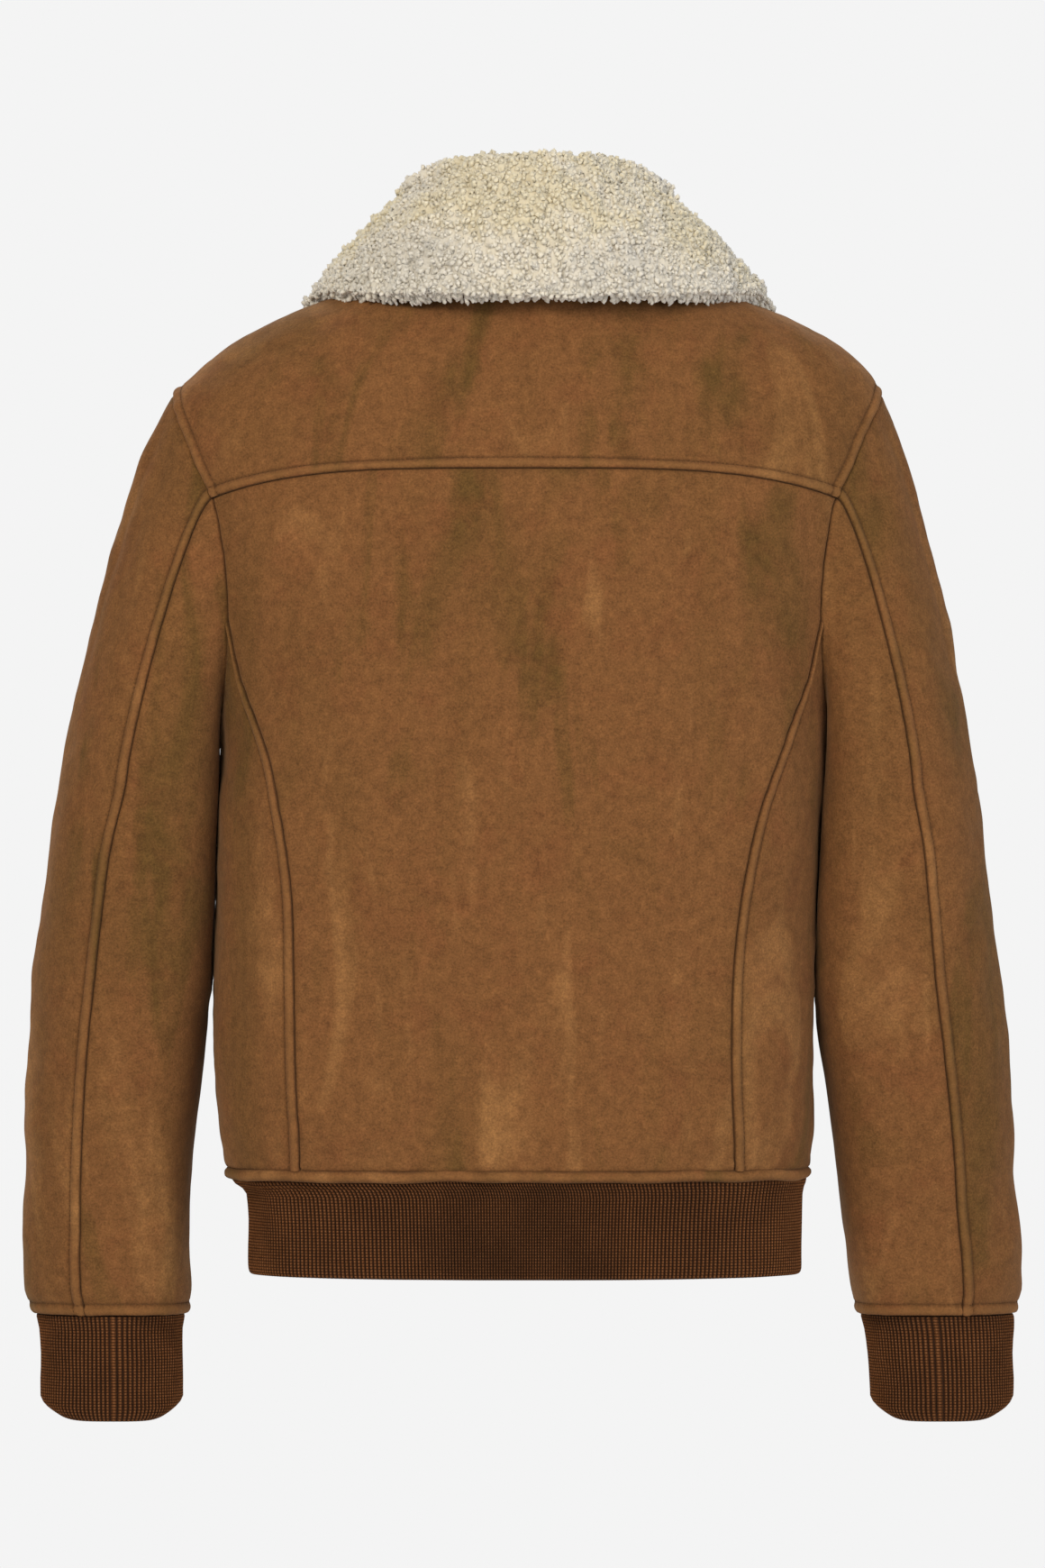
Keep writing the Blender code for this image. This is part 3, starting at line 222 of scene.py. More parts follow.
# Height over the panel's surface against distance from a seam, both in millimetres
EDGE_PROFILES = {
    "lap": (
        (0.0, -0.2), (0.25, 0.55), (0.6, 0.95), (1.2, 1.25), (2.2, 1.55), (3.4, 1.60), (4.6, 1.30),
        (5.7, 0.70), (6.5, 0.10), (7.1, -0.40), (7.8, -0.25), (9.0, 0.05), (11.0, 0.0),
    ),
    "under": (
        (0.0, -1.2), (0.35, -0.95), (0.8, -0.55), (1.6, -0.10), (3.0, 0.25), (5.0, 0.25),
        (8.0, 0.08), (11.0, 0.0),
    ),
    "butt": (
        (0.0, -0.9), (0.35, -0.55), (0.8, -0.22), (1.6, 0.05), (3.0, 0.15), (5.0, 0.08), (8.0, 0.0),
    ),
    "hem": (
        (0.0, -0.9), (0.35, -0.5), (0.8, -0.1), (1.6, 0.35), (3.0, 0.60), (5.0, 0.62), (8.0, 0.40),
        (14.0, 0.0),
    ),
}


def curve_through(xs, ys, at):
    """A smooth curve through the points that never overshoots them (monotone cubic)."""
    order = np.argsort(xs)
    xs, ys = np.asarray(xs, float)[order], np.asarray(ys, float)[order]
    step = np.diff(xs)
    slope = np.diff(ys) / step
    same_way = slope[:-1] * slope[1:] > 0
    both = np.where(same_way, slope[:-1] + slope[1:], 1.0)
    inner = np.where(same_way, 2 * slope[:-1] * slope[1:] / both, 0.0)
    tangent = np.concatenate([[slope[0]], inner, [slope[-1]]])
    at = np.clip(np.asarray(at, float), xs[0], xs[-1])
    cell = np.clip(np.searchsorted(xs, at, side="right") - 1, 0, len(step) - 1)
    t = (at - xs[cell]) / step[cell]
    return (
        (1 + 2 * t) * (1 - t) ** 2 * ys[cell]
        + t * (1 - t) ** 2 * step[cell] * tangent[cell]
        + t * t * (3 - 2 * t) * ys[cell + 1]
        + t * t * (t - 1) * step[cell] * tangent[cell + 1]
    )


def column(rows, columns, name, at, key="z"):
    """One named column of a table, read off smoothly at the values of its key column."""
    table = np.array(rows)
    return curve_through(table[:, columns.index(key)], table[:, columns.index(name)], at)


def fold_depth(angle, z):
    """How far the soft troughs pull the torso surface in."""
    total = np.zeros(np.broadcast(angle, z).shape)
    for turned, lean, top, bottom, width, depth in TORSO_FOLDS:
        along = np.clip((top - z) / (top - bottom), 0.0, 1.0)
        line = math.radians(turned) + np.radians(lean) * (z - top)
        across = 0.15 * (angle - line) / width
        total = total + depth * np.exp(-(across**2)) * np.sin(math.pi * along) ** 2
    return total


def ring_radius(rows, angle, z):
    """Distance from the ring's middle to its edge: a superellipse, deeper at front than at back."""
    a = column(rows, TORSO_COLUMNS, "half_width", z)
    n = column(rows, TORSO_COLUMNS, "squareness", z)
    back = column(rows, TORSO_COLUMNS, "back", z)
    front = column(rows, TORSO_COLUMNS, "front", z)
    b = np.where(np.cos(angle) > 0, back, front)
    return ((np.abs(np.sin(angle)) / a) ** n + (np.abs(np.cos(angle)) / b) ** n) ** (-1 / n)


def ring_points(rows, angle, z, radius):
    centre = column(rows, TORSO_COLUMNS, "centre_x", z)
    z = np.broadcast_to(z, np.shape(radius))
    return np.stack([centre + radius * np.sin(angle), radius * np.cos(angle), z], axis=-1)


def torso(angle, z):
    """Points of the suede's outer face. The angle is from the centre back, in radians."""
    radius = ring_radius(TORSO_RINGS, angle, z) - fold_depth(angle, z)
    return ring_points(TORSO_RINGS, angle, z, radius)


def waistband_surface(angle, z):
    return ring_points(WAISTBAND_RINGS, angle, z, ring_radius(WAISTBAND_RINGS, angle, z))


def unit(v):
    return v / np.maximum(np.linalg.norm(v, axis=-1, keepdims=True), 1e-12)


def normals_on(surface, angle, z):
    """Outward normals by small steps either way along the surface."""
    step = 0.0005
    along = surface(angle + 4 * step, z) - surface(angle - 4 * step, z)
    up = surface(angle, z + step) - surface(angle, z - step)
    return unit(np.cross(up, along))


def angle_at_x(x, z):
    """The angle on the back where the torso surface lies x from its middle."""
    a = column(TORSO_RINGS, TORSO_COLUMNS, "half_width", z)
    b = column(TORSO_RINGS, TORSO_COLUMNS, "back", z)
    n = column(TORSO_RINGS, TORSO_COLUMNS, "squareness", z)
    y = b * (1 - np.minimum(np.abs(x) / a, 1.0) ** n) ** (1 / n)
    return np.arctan2(x, y)


def armhole_seam(degrees):
    """(angle, z) along the armhole on the wearer's left."""
    turn = np.radians(degrees)
    y = ARMHOLE_HALF_DEPTH * np.sin(turn)
    z = ARMHOLE_MID_Z + ARMHOLE_HALF_HEIGHT * np.cos(turn)
    a = column(TORSO_RINGS, TORSO_COLUMNS, "half_width", z)
    n = column(TORSO_RINGS, TORSO_COLUMNS, "squareness", z)
    back = column(TORSO_RINGS, TORSO_COLUMNS, "back", z)
    front = column(TORSO_RINGS, TORSO_COLUMNS, "front", z)
    b = np.where(y > 0, back, front)
    x = a * (1 - (np.abs(y) / b) ** n) ** (1 / n)
    return np.stack([np.arctan2(x, y), z], axis=-1)


def armhole_degrees(first, last):
    """Places along the armhole from stop number first to stop number last."""
    parts = [
        np.linspace(ARMHOLE_STOPS[i], ARMHOLE_STOPS[i + 1], FINE * ARMHOLE_PARTS[i] + 1)[:-1]
        for i in range(first, last)
    ]
    return np.concatenate([*parts, [ARMHOLE_STOPS[last]]])


def yoke_seam():
    """(angle, z) from the right armhole to the left one, bowed down towards its ends."""
    end = armhole_seam(ARMHOLE_STOPS[1])
    reach = torso(end[0], end[1])[0] - column(TORSO_RINGS, TORSO_COLUMNS, "centre_x", end[1])
    share = np.linspace(-1.0, 1.0, FINE * BACK_PARTS + 1)
    z = YOKE_CENTRE_Z + (end[1] - YOKE_CENTRE_Z) * share**4
    angle = angle_at_x(share * reach, z)
    angle[0], angle[-1] = -end[0], end[0]
    return np.stack([angle, z], axis=-1)


def back_seam():
    """(angle, z) of the seam from the waist up to the armhole, on the wearer's left."""
    end = armhole_seam(ARMHOLE_STOPS[2])
    z = np.linspace(HEM_Z, end[1], FINE * SEAM_PARTS + 1)
    reach = torso(end[0], end[1])[0]
    x = column((*BACK_SEAM, (end[1], reach)), SIDE_SEAM_COLUMNS, "x", z)
    angle = angle_at_x(x, z)
    angle[-1] = end[0]
    return np.stack([angle, z], axis=-1)


def side_seam():
    """(angle, z) from the waist to the armpit."""
    top = ARMHOLE_MID_Z - ARMHOLE_HALF_HEIGHT
    z = np.linspace(HEM_Z, top, FINE * SEAM_PARTS + 1)
    return np.stack([np.full_like(z, math.pi / 2), z], axis=-1)


def shoulder_seam():
    """(angle, z) from the shoulder tip up to the neck."""
    share = np.linspace(0.0, 1.0, FINE * SHOULDER_PARTS + 1)
    tip = ARMHOLE_MID_Z + ARMHOLE_HALF_HEIGHT
    z = tip + (neck_z(math.pi / 2) - tip) * share
    return np.stack([np.full_like(z, math.pi / 2), z], axis=-1)


def neck_z(angle):
    """Height of the neckline: nearly level at the back, dropping to the front."""
    toward_front = np.maximum(-np.cos(angle), 0.0)
    return -0.005 + 0.004 * np.sin(angle) ** 2 - (-0.005 - FRONT_NECK_Z) * toward_front**1.6


def front_edge_angle(z):
    """The angle where a front ends, beside the zip."""
    depth = column(TORSO_RINGS, TORSO_COLUMNS, "front", z)
    return math.pi - np.arctan2(ZIP_HALF_GAP, depth)


def front_neck_seam():
    """(angle, z) from the neck's side round to the zip."""
    end = front_edge_angle(FRONT_NECK_Z)
    angle = np.linspace(math.pi / 2, end, FINE * FRONT_NECK_PARTS + 1)
    return np.stack([angle, neck_z(angle)], axis=-1)


def hem_seam(first, last, parts):
    angle = np.linspace(first, last, FINE * parts + 1)
    return np.stack([angle, np.full_like(angle, HEM_Z)], axis=-1)


def mirrored(grid):
    """The same seam on the wearer's right."""
    return np.stack([-grid[..., 0], grid[..., 1]], axis=-1)


def panel_seams():
    """Each panel's bottom, top, left and right seams, and the kind of edge it has on each."""
    yoke, princess, side = yoke_seam(), back_seam(), side_seam()
    shoulder, neck = shoulder_seam(), front_neck_seam()
    tip_to_yoke = armhole_seam(armhole_degrees(0, 1))[::-1]
    back_neck = np.linspace(-math.pi / 2, math.pi / 2, FINE * BACK_NECK_PARTS + 1)
    back_neck = np.stack([back_neck, neck_z(back_neck)], axis=-1)
    yoke_top = np.concatenate([mirrored(shoulder), back_neck[1:-1], shoulder[::-1]])
    beside = np.concatenate([princess, armhole_seam(armhole_degrees(1, 2))[::-1][1:]])
    hem = hem_seam(-princess[0, 0], princess[0, 0], BACK_PARTS)
    side_hem = hem_seam(princess[0, 0], math.pi / 2, SIDE_HEM_PARTS)
    under_arm = armhole_seam(armhole_degrees(2, 3))
    outer = np.concatenate([side, armhole_seam(armhole_degrees(3, 5))[1:]])
    front_top = np.concatenate([shoulder, neck[1:]])
    z = np.linspace(HEM_Z, FRONT_NECK_Z, len(outer))
    zip_edge = np.stack([front_edge_angle(z), z], axis=-1)
    front_hem = hem_seam(math.pi / 2, zip_edge[0, 0], SHOULDER_PARTS + FRONT_NECK_PARTS)
    side_panel = (side_hem, under_arm, princess, side)
    front_panel = (front_hem, front_top, outer, zip_edge)
    side_kinds = ("hem", "butt", "lap", "butt")
    front_kinds = ("hem", "butt", "butt", "lap")
    return {
        "back_yoke": (
            (yoke, yoke_top, mirrored(tip_to_yoke), tip_to_yoke), ("lap", "butt", "lap", "lap"),
        ),
        "back_centre": ((hem, yoke, mirrored(beside), beside), ("hem", "under", "under", "under")),
        "back_side_left": (side_panel, side_kinds),
        "back_side_right": (tuple(mirrored(s) for s in side_panel), side_kinds),
        "front_left": (front_panel, front_kinds),
        "front_right": (tuple(mirrored(s) for s in front_panel), front_kinds),
    }


def along(seam, share):
    """The seam's point at each share of its length."""
    at = share * (len(seam) - 1)
    cell = np.clip(at.astype(int), 0, len(seam) - 2)
    t = (at - cell)[..., None]
    return seam[cell] * (1 - t) + seam[cell + 1] * t


def patch(seams, u, v):
    """Each seam's own shape, faded in from its side (a Coons patch), at shares u across and v up."""
    bottom, top, left, right = seams
    u1, v1 = u[..., None], v[..., None]
    corners = (
        (1 - u1) * (1 - v1) * bottom[0] + u1 * (1 - v1) * bottom[-1]
        + (1 - u1) * v1 * top[0] + u1 * v1 * top[-1]
    )
    sides = (1 - v1) * along(bottom, u) + v1 * along(top, u)
    return sides + (1 - u1) * along(left, v) + u1 * along(right, v) - corners


def waves(points, length, seed, count=20):
    """A smooth random height at each point: sines of about one length in random directions."""
    rng = np.random.default_rng(seed)
    way = unit(rng.normal(size=(count, 3)))
    turn = 2 * math.pi / (length * rng.uniform(0.7, 1.5, size=(count, 1)))
    phase = rng.uniform(0.0, 2 * math.pi, count)
    return np.sin(points @ (way * turn).T + phase).sum(axis=-1) / math.sqrt(count / 2)


def edge_height(kind, distance):
    """Height of a seam's edge over the surface at each distance from it, in metres."""
    profile = np.array(EDGE_PROFILES[kind]) / 1000
    return np.interp(distance, profile[:, 0], profile[:, 1], right=0.0)


def edge_lines(kind, cell):
    """Distances from a seam at which the grid has lines, out to where cells of full size start."""
    lines = np.array(EDGE_PROFILES[kind])[:, 0] / 1000
    return lines[lines < 0.011 + cell / 4]


def across_lines(first, last, cells, near, far):
    """Shares 0 to 1 on each row: close lines at the distances near and far, even ones between.

    first and last are each row's metres for a share of 1, measured at its two ends.
    """
    start = near[None, :] / first[:, None]
    end = 1.0 - far[None, ::-1] / last[:, None]
    middle = np.linspace(0.0, 1.0, cells + 1)[None, 1:-1]
    middle = start[:, -1:] + (end[:, :1] - start[:, -1:]) * middle
    return np.concatenate([start, middle, end], axis=1)


def panel_grid(seams, kinds, cell):
    """(angle, z) points of a panel, and each point's distance from its four seams."""
    small = 0.002
    probe = np.linspace(0.0, 1.0, 41)

    def place(u, v):
        u, v = np.broadcast_arrays(u, v)
        return torso(*np.moveaxis(patch(seams, u, v), -1, 0))

    def length(points, axis):
        return np.linalg.norm(np.diff(points, axis=axis), axis=-1).sum(axis=axis)

    whole = place(probe[None, :], probe[:, None])
    cols = int(round(length(whole, 1).max() / cell))
    rows = int(round(length(whole, 0).max() / cell))

    def speed(u, v, du, dv):
        return np.linalg.norm(place(u + du, v + dv) - place(u, v), axis=-1) / small

    at = np.linspace(0.0, 1.0, 101)
    ends = [
        speed(at, 0 * at, 0, small), speed(at, 0 * at + 1, 0, -small),
        speed(0 * at, at, small, 0), speed(0 * at + 1, at, -small, 0),
    ]
    near = [edge_lines(kind, cell) for kind in kinds]
    v_middle = across_lines(
        ends[0].mean(keepdims=True), ends[1].mean(keepdims=True), rows, near[0], near[1]
    )[0]
    u_rows = across_lines(
        np.interp(v_middle, at, ends[2]), np.interp(v_middle, at, ends[3]), cols, near[2], near[3]
    )
    u_middle = u_rows.mean(axis=0)
    v_columns = across_lines(
        np.interp(u_middle, at, ends[0]), np.interp(u_middle, at, ends[1]), rows, near[0], near[1]
    ).T
    distance = (
        v_columns * np.interp(u_rows, at, ends[0]), (1 - v_columns) * np.interp(u_rows, at, ends[1]),
        u_rows * np.interp(v_columns, at, ends[2]), (1 - u_rows) * np.interp(v_columns, at, ends[3]),
    )
    return patch(seams, u_rows, v_columns), distance


def trimmed(points, closed=False):
    """Moves the grid's border in by the seam allowance's half gap."""
    points = points.copy()
    edges = [(points[0], points[1]), (points[-1], points[-2])]
    if not closed:
        edges += [(points[:, 0], points[:, 1]), (points[:, -1], points[:, -2])]
    for border, inside in edges:
        border += unit(inside - border) * EDGE_TRIM
    return points


def cells(index, closed=False):
    """Four corners of every cell of a grid of vertex numbers."""
    if closed:
        index = np.concatenate([index, index[:, :1]], axis=1)
    corners = (index[:-1, :-1], index[:-1, 1:], index[1:, 1:], index[1:, :-1])
    return np.stack(corners, axis=-1).reshape(-1, 4)


def rim_faces(outer, inner, kept):
    """Triangles between a border of the outer face and the inner face's border, which kept fewer
    of its points. kept holds the places of those in the outer border."""
    i = np.arange(len(outer) - 1)
    k = np.searchsorted(kept, i, side="right") - 1
    wide = np.stack([outer[i], outer[i + 1], inner[k]], axis=-1)
    k = np.arange(len(kept) - 1)
    narrow = np.stack([outer[kept[1:]], inner[k + 1], inner[k]], axis=-1)
    return np.concatenate([wide, narrow])


def kept_lines(count):
    """Every third line of the outer grid and its last one."""
    return np.unique(np.append(np.arange(0, count, INNER_STEP), count - 1))


def add_piece(name, points, faces, materials, material_index=None, smooth_angle=60, **attributes):
    """A mesh object at the origin. Each attribute is one number a vertex."""
    mesh = bpy.data.meshes.new(name)
    mesh.from_pydata(points.tolist(), [], faces)
    for made in materials:
        mesh.materials.append(made)
    if material_index is not None:
        mesh.polygons.foreach_set("material_index", material_index)
    for key, values in attributes.items():
        mesh.attributes.new(key, "FLOAT", "POINT").data.foreach_set("value", values.ravel())
    mesh.update()
    mesh.shade_smooth()
    mesh.set_sharp_from_angle(angle=math.radians(smooth_angle))
    piece = bpy.data.objects.new(name, mesh)
    bpy.context.scene.collection.objects.link(piece)
    return piece


def add_wall(name, outer, inner, materials, closed=False, outward=True, **attributes):
    """A closed piece between two grids: the first material outside, the second inside.

    Each attribute is a grid like the outer one; the inner face and the rims take its values.
    """
    rows, cols = outer.shape[:2]
    keep_r, keep_c = kept_lines(rows), kept_lines(cols)
    inner = inner[keep_r][:, keep_c]
    index = np.arange(rows * cols).reshape(rows, cols)
    inside = rows * cols + np.arange(inner[..., 0].size).reshape(inner.shape[:2])
    quads = cells(index, closed)
    inner_quads = cells(inside, closed)[:, ::-1]
    borders = []
    if closed:
        loop_c = np.append(keep_c, cols)
        wrapped = np.concatenate([index, index[:, :1]], axis=1)
        wrapped_inside = np.concatenate([inside, inside[:, :1]], axis=1)
    else:
        loop_c, wrapped, wrapped_inside = keep_c, index, inside
        borders.append(rim_faces(index[:, 0], inside[:, 0], keep_r))
        borders.append(rim_faces(index[:, -1], inside[:, -1], keep_r)[:, ::-1])
    borders.append(rim_faces(wrapped[0], wrapped_inside[0], loop_c)[:, ::-1])
    borders.append(rim_faces(wrapped[-1], wrapped_inside[-1], loop_c))
    rims = np.concatenate(borders)
    faces = [quads, inner_quads, rims]
    if not outward:
        faces = [f[:, ::-1] for f in faces]
    finish = np.repeat([0, 1, 0], [len(f) for f in faces])
    values = {
        key: np.concatenate([grid.ravel(), grid[keep_r][:, keep_c].ravel()])
        for key, grid in attributes.items()
    }
    points = np.concatenate([outer.reshape(-1, 3), inner.reshape(-1, 3)])
    all_faces = [face for part in faces for face in part.tolist()]
    return add_piece(name, points, all_faces, materials, finish, **values)


def declare_cloth(piece, node):
    """Rides with the jacket and replaces a node, whose part it hides."""
    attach(piece, "jacket")
    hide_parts(node)


def linear(colour):
    """A colour from its sRGB hex code, as the linear values that shaders take."""
    parts = np.array([int(colour[i:i + 2], 16) for i in (1, 3, 5)]) / 255
    parts = np.where(parts <= 0.04045, parts / 12.92, ((parts + 0.055) / 1.055) ** 2.4)
    return (*(float(part) for part in parts), 1.0)


def add_node(tree, kind, settings=None, **inputs):
    """A shader node with its settings, and its inputs by name: a value, or an output to link."""
    made = tree.nodes.new("ShaderNode" + kind)
    for key, value in (settings or {}).items():
        setattr(made, key, value)
    for key, value in inputs.items():
        socket = made.inputs[int(key[1:])] if key[0] == "i" and key[1:].isdigit() else (
            made.inputs[key.replace("_", " ")])
        if isinstance(value, bpy.types.NodeSocket):
            tree.links.new(value, socket)
        else:
            socket.default_value = value
    return made


def new_material(name, constants):
    """A material, its node tree and its Principled shader with the constants set on it."""
    made = bpy.data.materials.new(name)
    made.use_nodes = True
    shader = made.node_tree.nodes["Principled BSDF"]
    for key, value in constants.items():
        shader.inputs[key].default_value = value
    return made, made.node_tree, shader


def noise(tree, vector, scale, detail=2.0, rough=0.5, distortion=0.0):
    """Noise in scale cells a metre."""
    return add_node(
        tree, "TexNoise", Vector=vector, Scale=scale, Detail=detail, Roughness=rough,
        Distortion=distortion,
    ).outputs["Fac"]


def ramp(tree, fac, stops):
    """A colour ramp through (place, linear colour) stops."""
    made = add_node(tree, "ValToRGB", i0=fac)
    elements = made.color_ramp.elements
    for element, (place, colour) in zip(elements, (stops[0], stops[-1])):
        element.position, element.color = place, colour
    for place, colour in stops[1:-1]:
        elements.new(place).color = colour
    return made.outputs["Color"]


def mixed(tree, fac, a, b, blend="MIX"):
    made = add_node(tree, "Mix", {"data_type": "RGBA", "blend_type": blend}, i0=fac, i6=a, i7=b)
    return made.outputs[2]


def maths(tree, operation, a, b=0.0, clamp=False):
    return add_node(
        tree, "Math", {"operation": operation, "use_clamp": clamp}, i0=a, i1=b
    ).outputs[0]


def spread(tree, fac, low, high, to_low=0.0, to_high=1.0):
    made = add_node(
        tree, "MapRange", {"clamp": True}, Value=fac, From_Min=low, From_Max=high, To_Min=to_low,
        To_Max=to_high,
    )
    return made.outputs[0]


def bump(tree, height, distance, strength=1.0, normal=None):
    made = add_node(tree, "Bump", Strength=strength, Distance=distance, Height=height)
    if normal is not None:
        tree.links.new(normal, made.inputs["Normal"])
    return made.outputs["Normal"]


def suede_material():
    """Sheepskin suede: the skin side brushed to a nap. The eye sees a matt brown whose nap lies
    this way and that in soft strokes, and a fine grain. Along the seams the ridges are paler, partly
    rubbed wear and partly painted highlight, and painted shade darkens the grooves and seam lines."""
    existing = bpy.data.materials.get("Sheepskin suede")
    if existing:
        return existing
    look = bpy.context.scene.blouson_suede
    made, tree, shader = new_material("Sheepskin suede", {
        "Roughness": 0.95, "Specular IOR Level": 0.15, "Sheen Weight": 0.25,
        "Sheen Roughness": 0.45, "Sheen Tint": linear("#C9A27A"),
    })
    place = add_node(tree, "TexCoord").outputs["Object"]
    hide = add_node(tree, "Attribute", {"attribute_name": "hide"}).outputs["Fac"]
    moved = add_node(tree, "VectorMath", {"operation": "ADD"}, i0=place, i1=add_node(
        tree, "CombineXYZ", X=hide, Y=hide).outputs[0]).outputs[0]
    strokes = add_node(
        tree, "Mapping", Vector=moved, Rotation=(0.0, 0.35, 0.0), Scale=(1.0, 1.0, 0.28)
    ).outputs[0]
    broad = noise(tree, strokes, 17.0, 3.0, 0.55, 0.8)
    patches = noise(tree, moved, 30.0, 4.0, 0.6, 0.4)
    tone = ramp(tree, broad, (
        (0.30, tuple(look.olive)), (0.45, tuple(look.brown)), (0.58, tuple(look.brown)),
        (0.72, tuple(look.light)),
    ))
    warm = spread(tree, patches, 0.50, 0.68, 0.0, 0.28)
    tone = mixed(tree, warm, tone, tuple(look.red))
    leaning = add_node(
        tree, "Mapping", Vector=moved, Rotation=(0.0, -0.45, 0.0), Scale=(1.0, 1.0, 0.22)
    ).outputs[0]
    dark = spread(tree, noise(tree, leaning, 13.0, 3.0, 0.55, 0.6), 0.48, 0.74, 0.0, 0.50)
    tone = mixed(tree, dark, tone, tuple(look.olive))
    mottle = spread(tree, noise(tree, moved, 150.0, 4.0, 0.65), 0.3, 0.7, 0.80, 1.18)
    tone = mixed(tree, 1.0, tone, add_node(
        tree, "CombineColor", Red=mottle, Green=mottle, Blue=mottle).outputs[0], "MULTIPLY")
    grain_noise = noise(tree, place, look.grain, 3.0, 0.7)
    grain = spread(tree, grain_noise, 0.28, 0.72, 0.66, 1.34)
    tone = mixed(tree, 1.0, tone, add_node(
        tree, "CombineColor", Red=grain, Green=grain, Blue=grain).outputs[0], "MULTIPLY")
    # Seam mask: above 0 the light colour paints rubbed wear and highlight on ridges, and below 0 the
    # dark #3A2413 paints shade in grooves and on seam lines.
    rubbed = add_node(tree, "Attribute", {"attribute_name": "rubbed"}).outputs["Fac"]
    tone = mixed(tree, spread(tree, rubbed, 0.0, 1.0, 0.0, 0.45), tone, tuple(look.light))
    tone = mixed(tree, spread(tree, rubbed, 0.0, -1.0, 0.0, 0.75), tone, linear("#3A2413"))
    tree.links.new(tone, shader.inputs["Base Color"])
    rough = bump(tree, noise(tree, moved, 260.0, 3.0, 0.6), 0.0006, 0.5)
    tree.links.new(bump(tree, grain_noise, 0.00035, 0.8, rough), shader.inputs["Normal"])
    return made


def pile_material():
    """Clipped wool inside the jacket: a dense cream pile with small soft clumps."""
    existing = bpy.data.materials.get("Clipped wool pile")
    if existing:
        return existing
    made, tree, shader = new_material("Clipped wool pile", {
        "Roughness": 1.0, "Specular IOR Level": 0.05, "Sheen Weight": 0.3, "Sheen Roughness": 0.5,
    })
    place = add_node(tree, "TexCoord").outputs["Object"]
    clumps = noise(tree, place, 220.0, 3.0, 0.6)
    tone = ramp(tree, clumps, (
        (0.25, linear("#A89878")), (0.5, linear("#D2C4A2")), (0.75, linear("#E4DAC0")),
    ))
    tree.links.new(tone, shader.inputs["Base Color"])
    tree.links.new(bump(tree, clumps, 0.002, 0.9), shader.inputs["Normal"])
    return made


def wool_material():
    """Long sheep's wool left to curl: cream with yellow and greyish patches, and painted shade that
    darkens each small curl where it dives between its neighbours, so its crown stays lighter."""
    existing = bpy.data.materials.get("Curly sheep wool")
    if existing:
        return existing
    look = bpy.context.scene.blouson_wool
    made, tree, shader = new_material("Curly sheep wool", {
        "Roughness": 0.95, "Specular IOR Level": 0.12, "Sheen Weight": 0.30,
        "Sheen Roughness": 0.4, "Subsurface Weight": 0.5, "Subsurface Scale": 0.003,
        "Subsurface Radius": (1.0, 1.0, 1.0),
    })
    place = add_node(tree, "TexCoord").outputs["Object"]
    height = add_node(tree, "SeparateXYZ", i0=place).outputs[2]
    upper = spread(tree, height, -0.015, 0.035, -0.07, 0.06)
    patches = maths(tree, "ADD", noise(tree, place, 16.0, 3.0, 0.6, 0.5), upper)
    tone = ramp(tree, patches, (
        (0.34, tuple(look.grey)), (0.48, tuple(look.cream)), (0.64, tuple(look.yellow)),
    ))
    shade = add_node(tree, "Attribute", {"attribute_name": "tone"}).outputs["Fac"]
    value = spread(tree, shade, 0.0, 1.0, 0.90, 1.05)
    tone = mixed(tree, 1.0, tone, add_node(
        tree, "CombineColor", Red=value, Green=value, Blue=value).outputs[0], "MULTIPLY")
    # Painted shade: #7C6A4A darkens each curl towards its root, where it dives between its
    # neighbours; depth is 1 at the tips.
    depth = add_node(tree, "Attribute", {"attribute_name": "depth"}).outputs["Fac"]
    tone = mixed(tree, spread(tree, depth, 0.0, 1.0, 0.22, 0.0), tone, linear("#7C6A4A"))
    tree.links.new(tone, shader.inputs["Base Color"])
    fibres = noise(tree, place, 1500.0, 3.0, 0.7, 0.6)
    tree.links.new(bump(tree, fibres, 0.0004, 0.8), shader.inputs["Normal"])
    return made


def knit_material():
    """Ribbed knit of brown wool yarn: chains of small stitches up every rib, with painted highlight
    on their crowns and painted shade in the furrows between the ribs and between the stitches."""
    existing = bpy.data.materials.get("Brown rib knit")
    if existing:
        return existing
    look = bpy.context.scene.blouson_knit
    made, tree, shader = new_material("Brown rib knit", {
        "Roughness": 0.95, "Specular IOR Level": 0.12, "Sheen Weight": 0.05, "Sheen Roughness": 0.5,
        "Sheen Tint": linear("#9A7048"),
    })
    place = add_node(tree, "TexCoord").outputs["Object"]
    row = add_node(tree, "Attribute", {"attribute_name": "row"}).outputs["Fac"]
    ridge = add_node(tree, "Attribute", {"attribute_name": "ridge"}).outputs["Fac"]
    wave = maths(tree, "ABSOLUTE", maths(tree, "SINE", maths(tree, "MULTIPLY", row, math.pi)))
    stitch = maths(tree, "MULTIPLY", maths(tree, "POWER", wave, 0.6), ridge)
    fuzz = noise(tree, place, 900.0, 3.0, 0.7)
    crown = maths(tree, "MULTIPLY", stitch, spread(tree, fuzz, 0.25, 0.75, 0.4, 1.1))
    patches = spread(tree, noise(tree, place, 22.0, 3.0, 0.6), 0.35, 0.65, 0.85, 1.15)
    # Painted shade where the stitches dip (furrow colour) and painted highlight on their crowns
    # (crown colour).
    tone = ramp(tree, crown, (
        (0.05, tuple(look.furrow_shade)), (0.45, tuple(look.brown)), (0.95, tuple(look.crown)),
    ))
    tone = mixed(tree, 1.0, tone, add_node(
        tree, "CombineColor", Red=patches, Green=patches, Blue=patches).outputs[0], "MULTIPLY")
    tree.links.new(tone, shader.inputs["Base Color"])
    soft = bump(tree, fuzz, 0.0003, 0.6)
    tree.links.new(bump(tree, stitch, 0.0009, 0.9, soft), shader.inputs["Normal"])
    return made


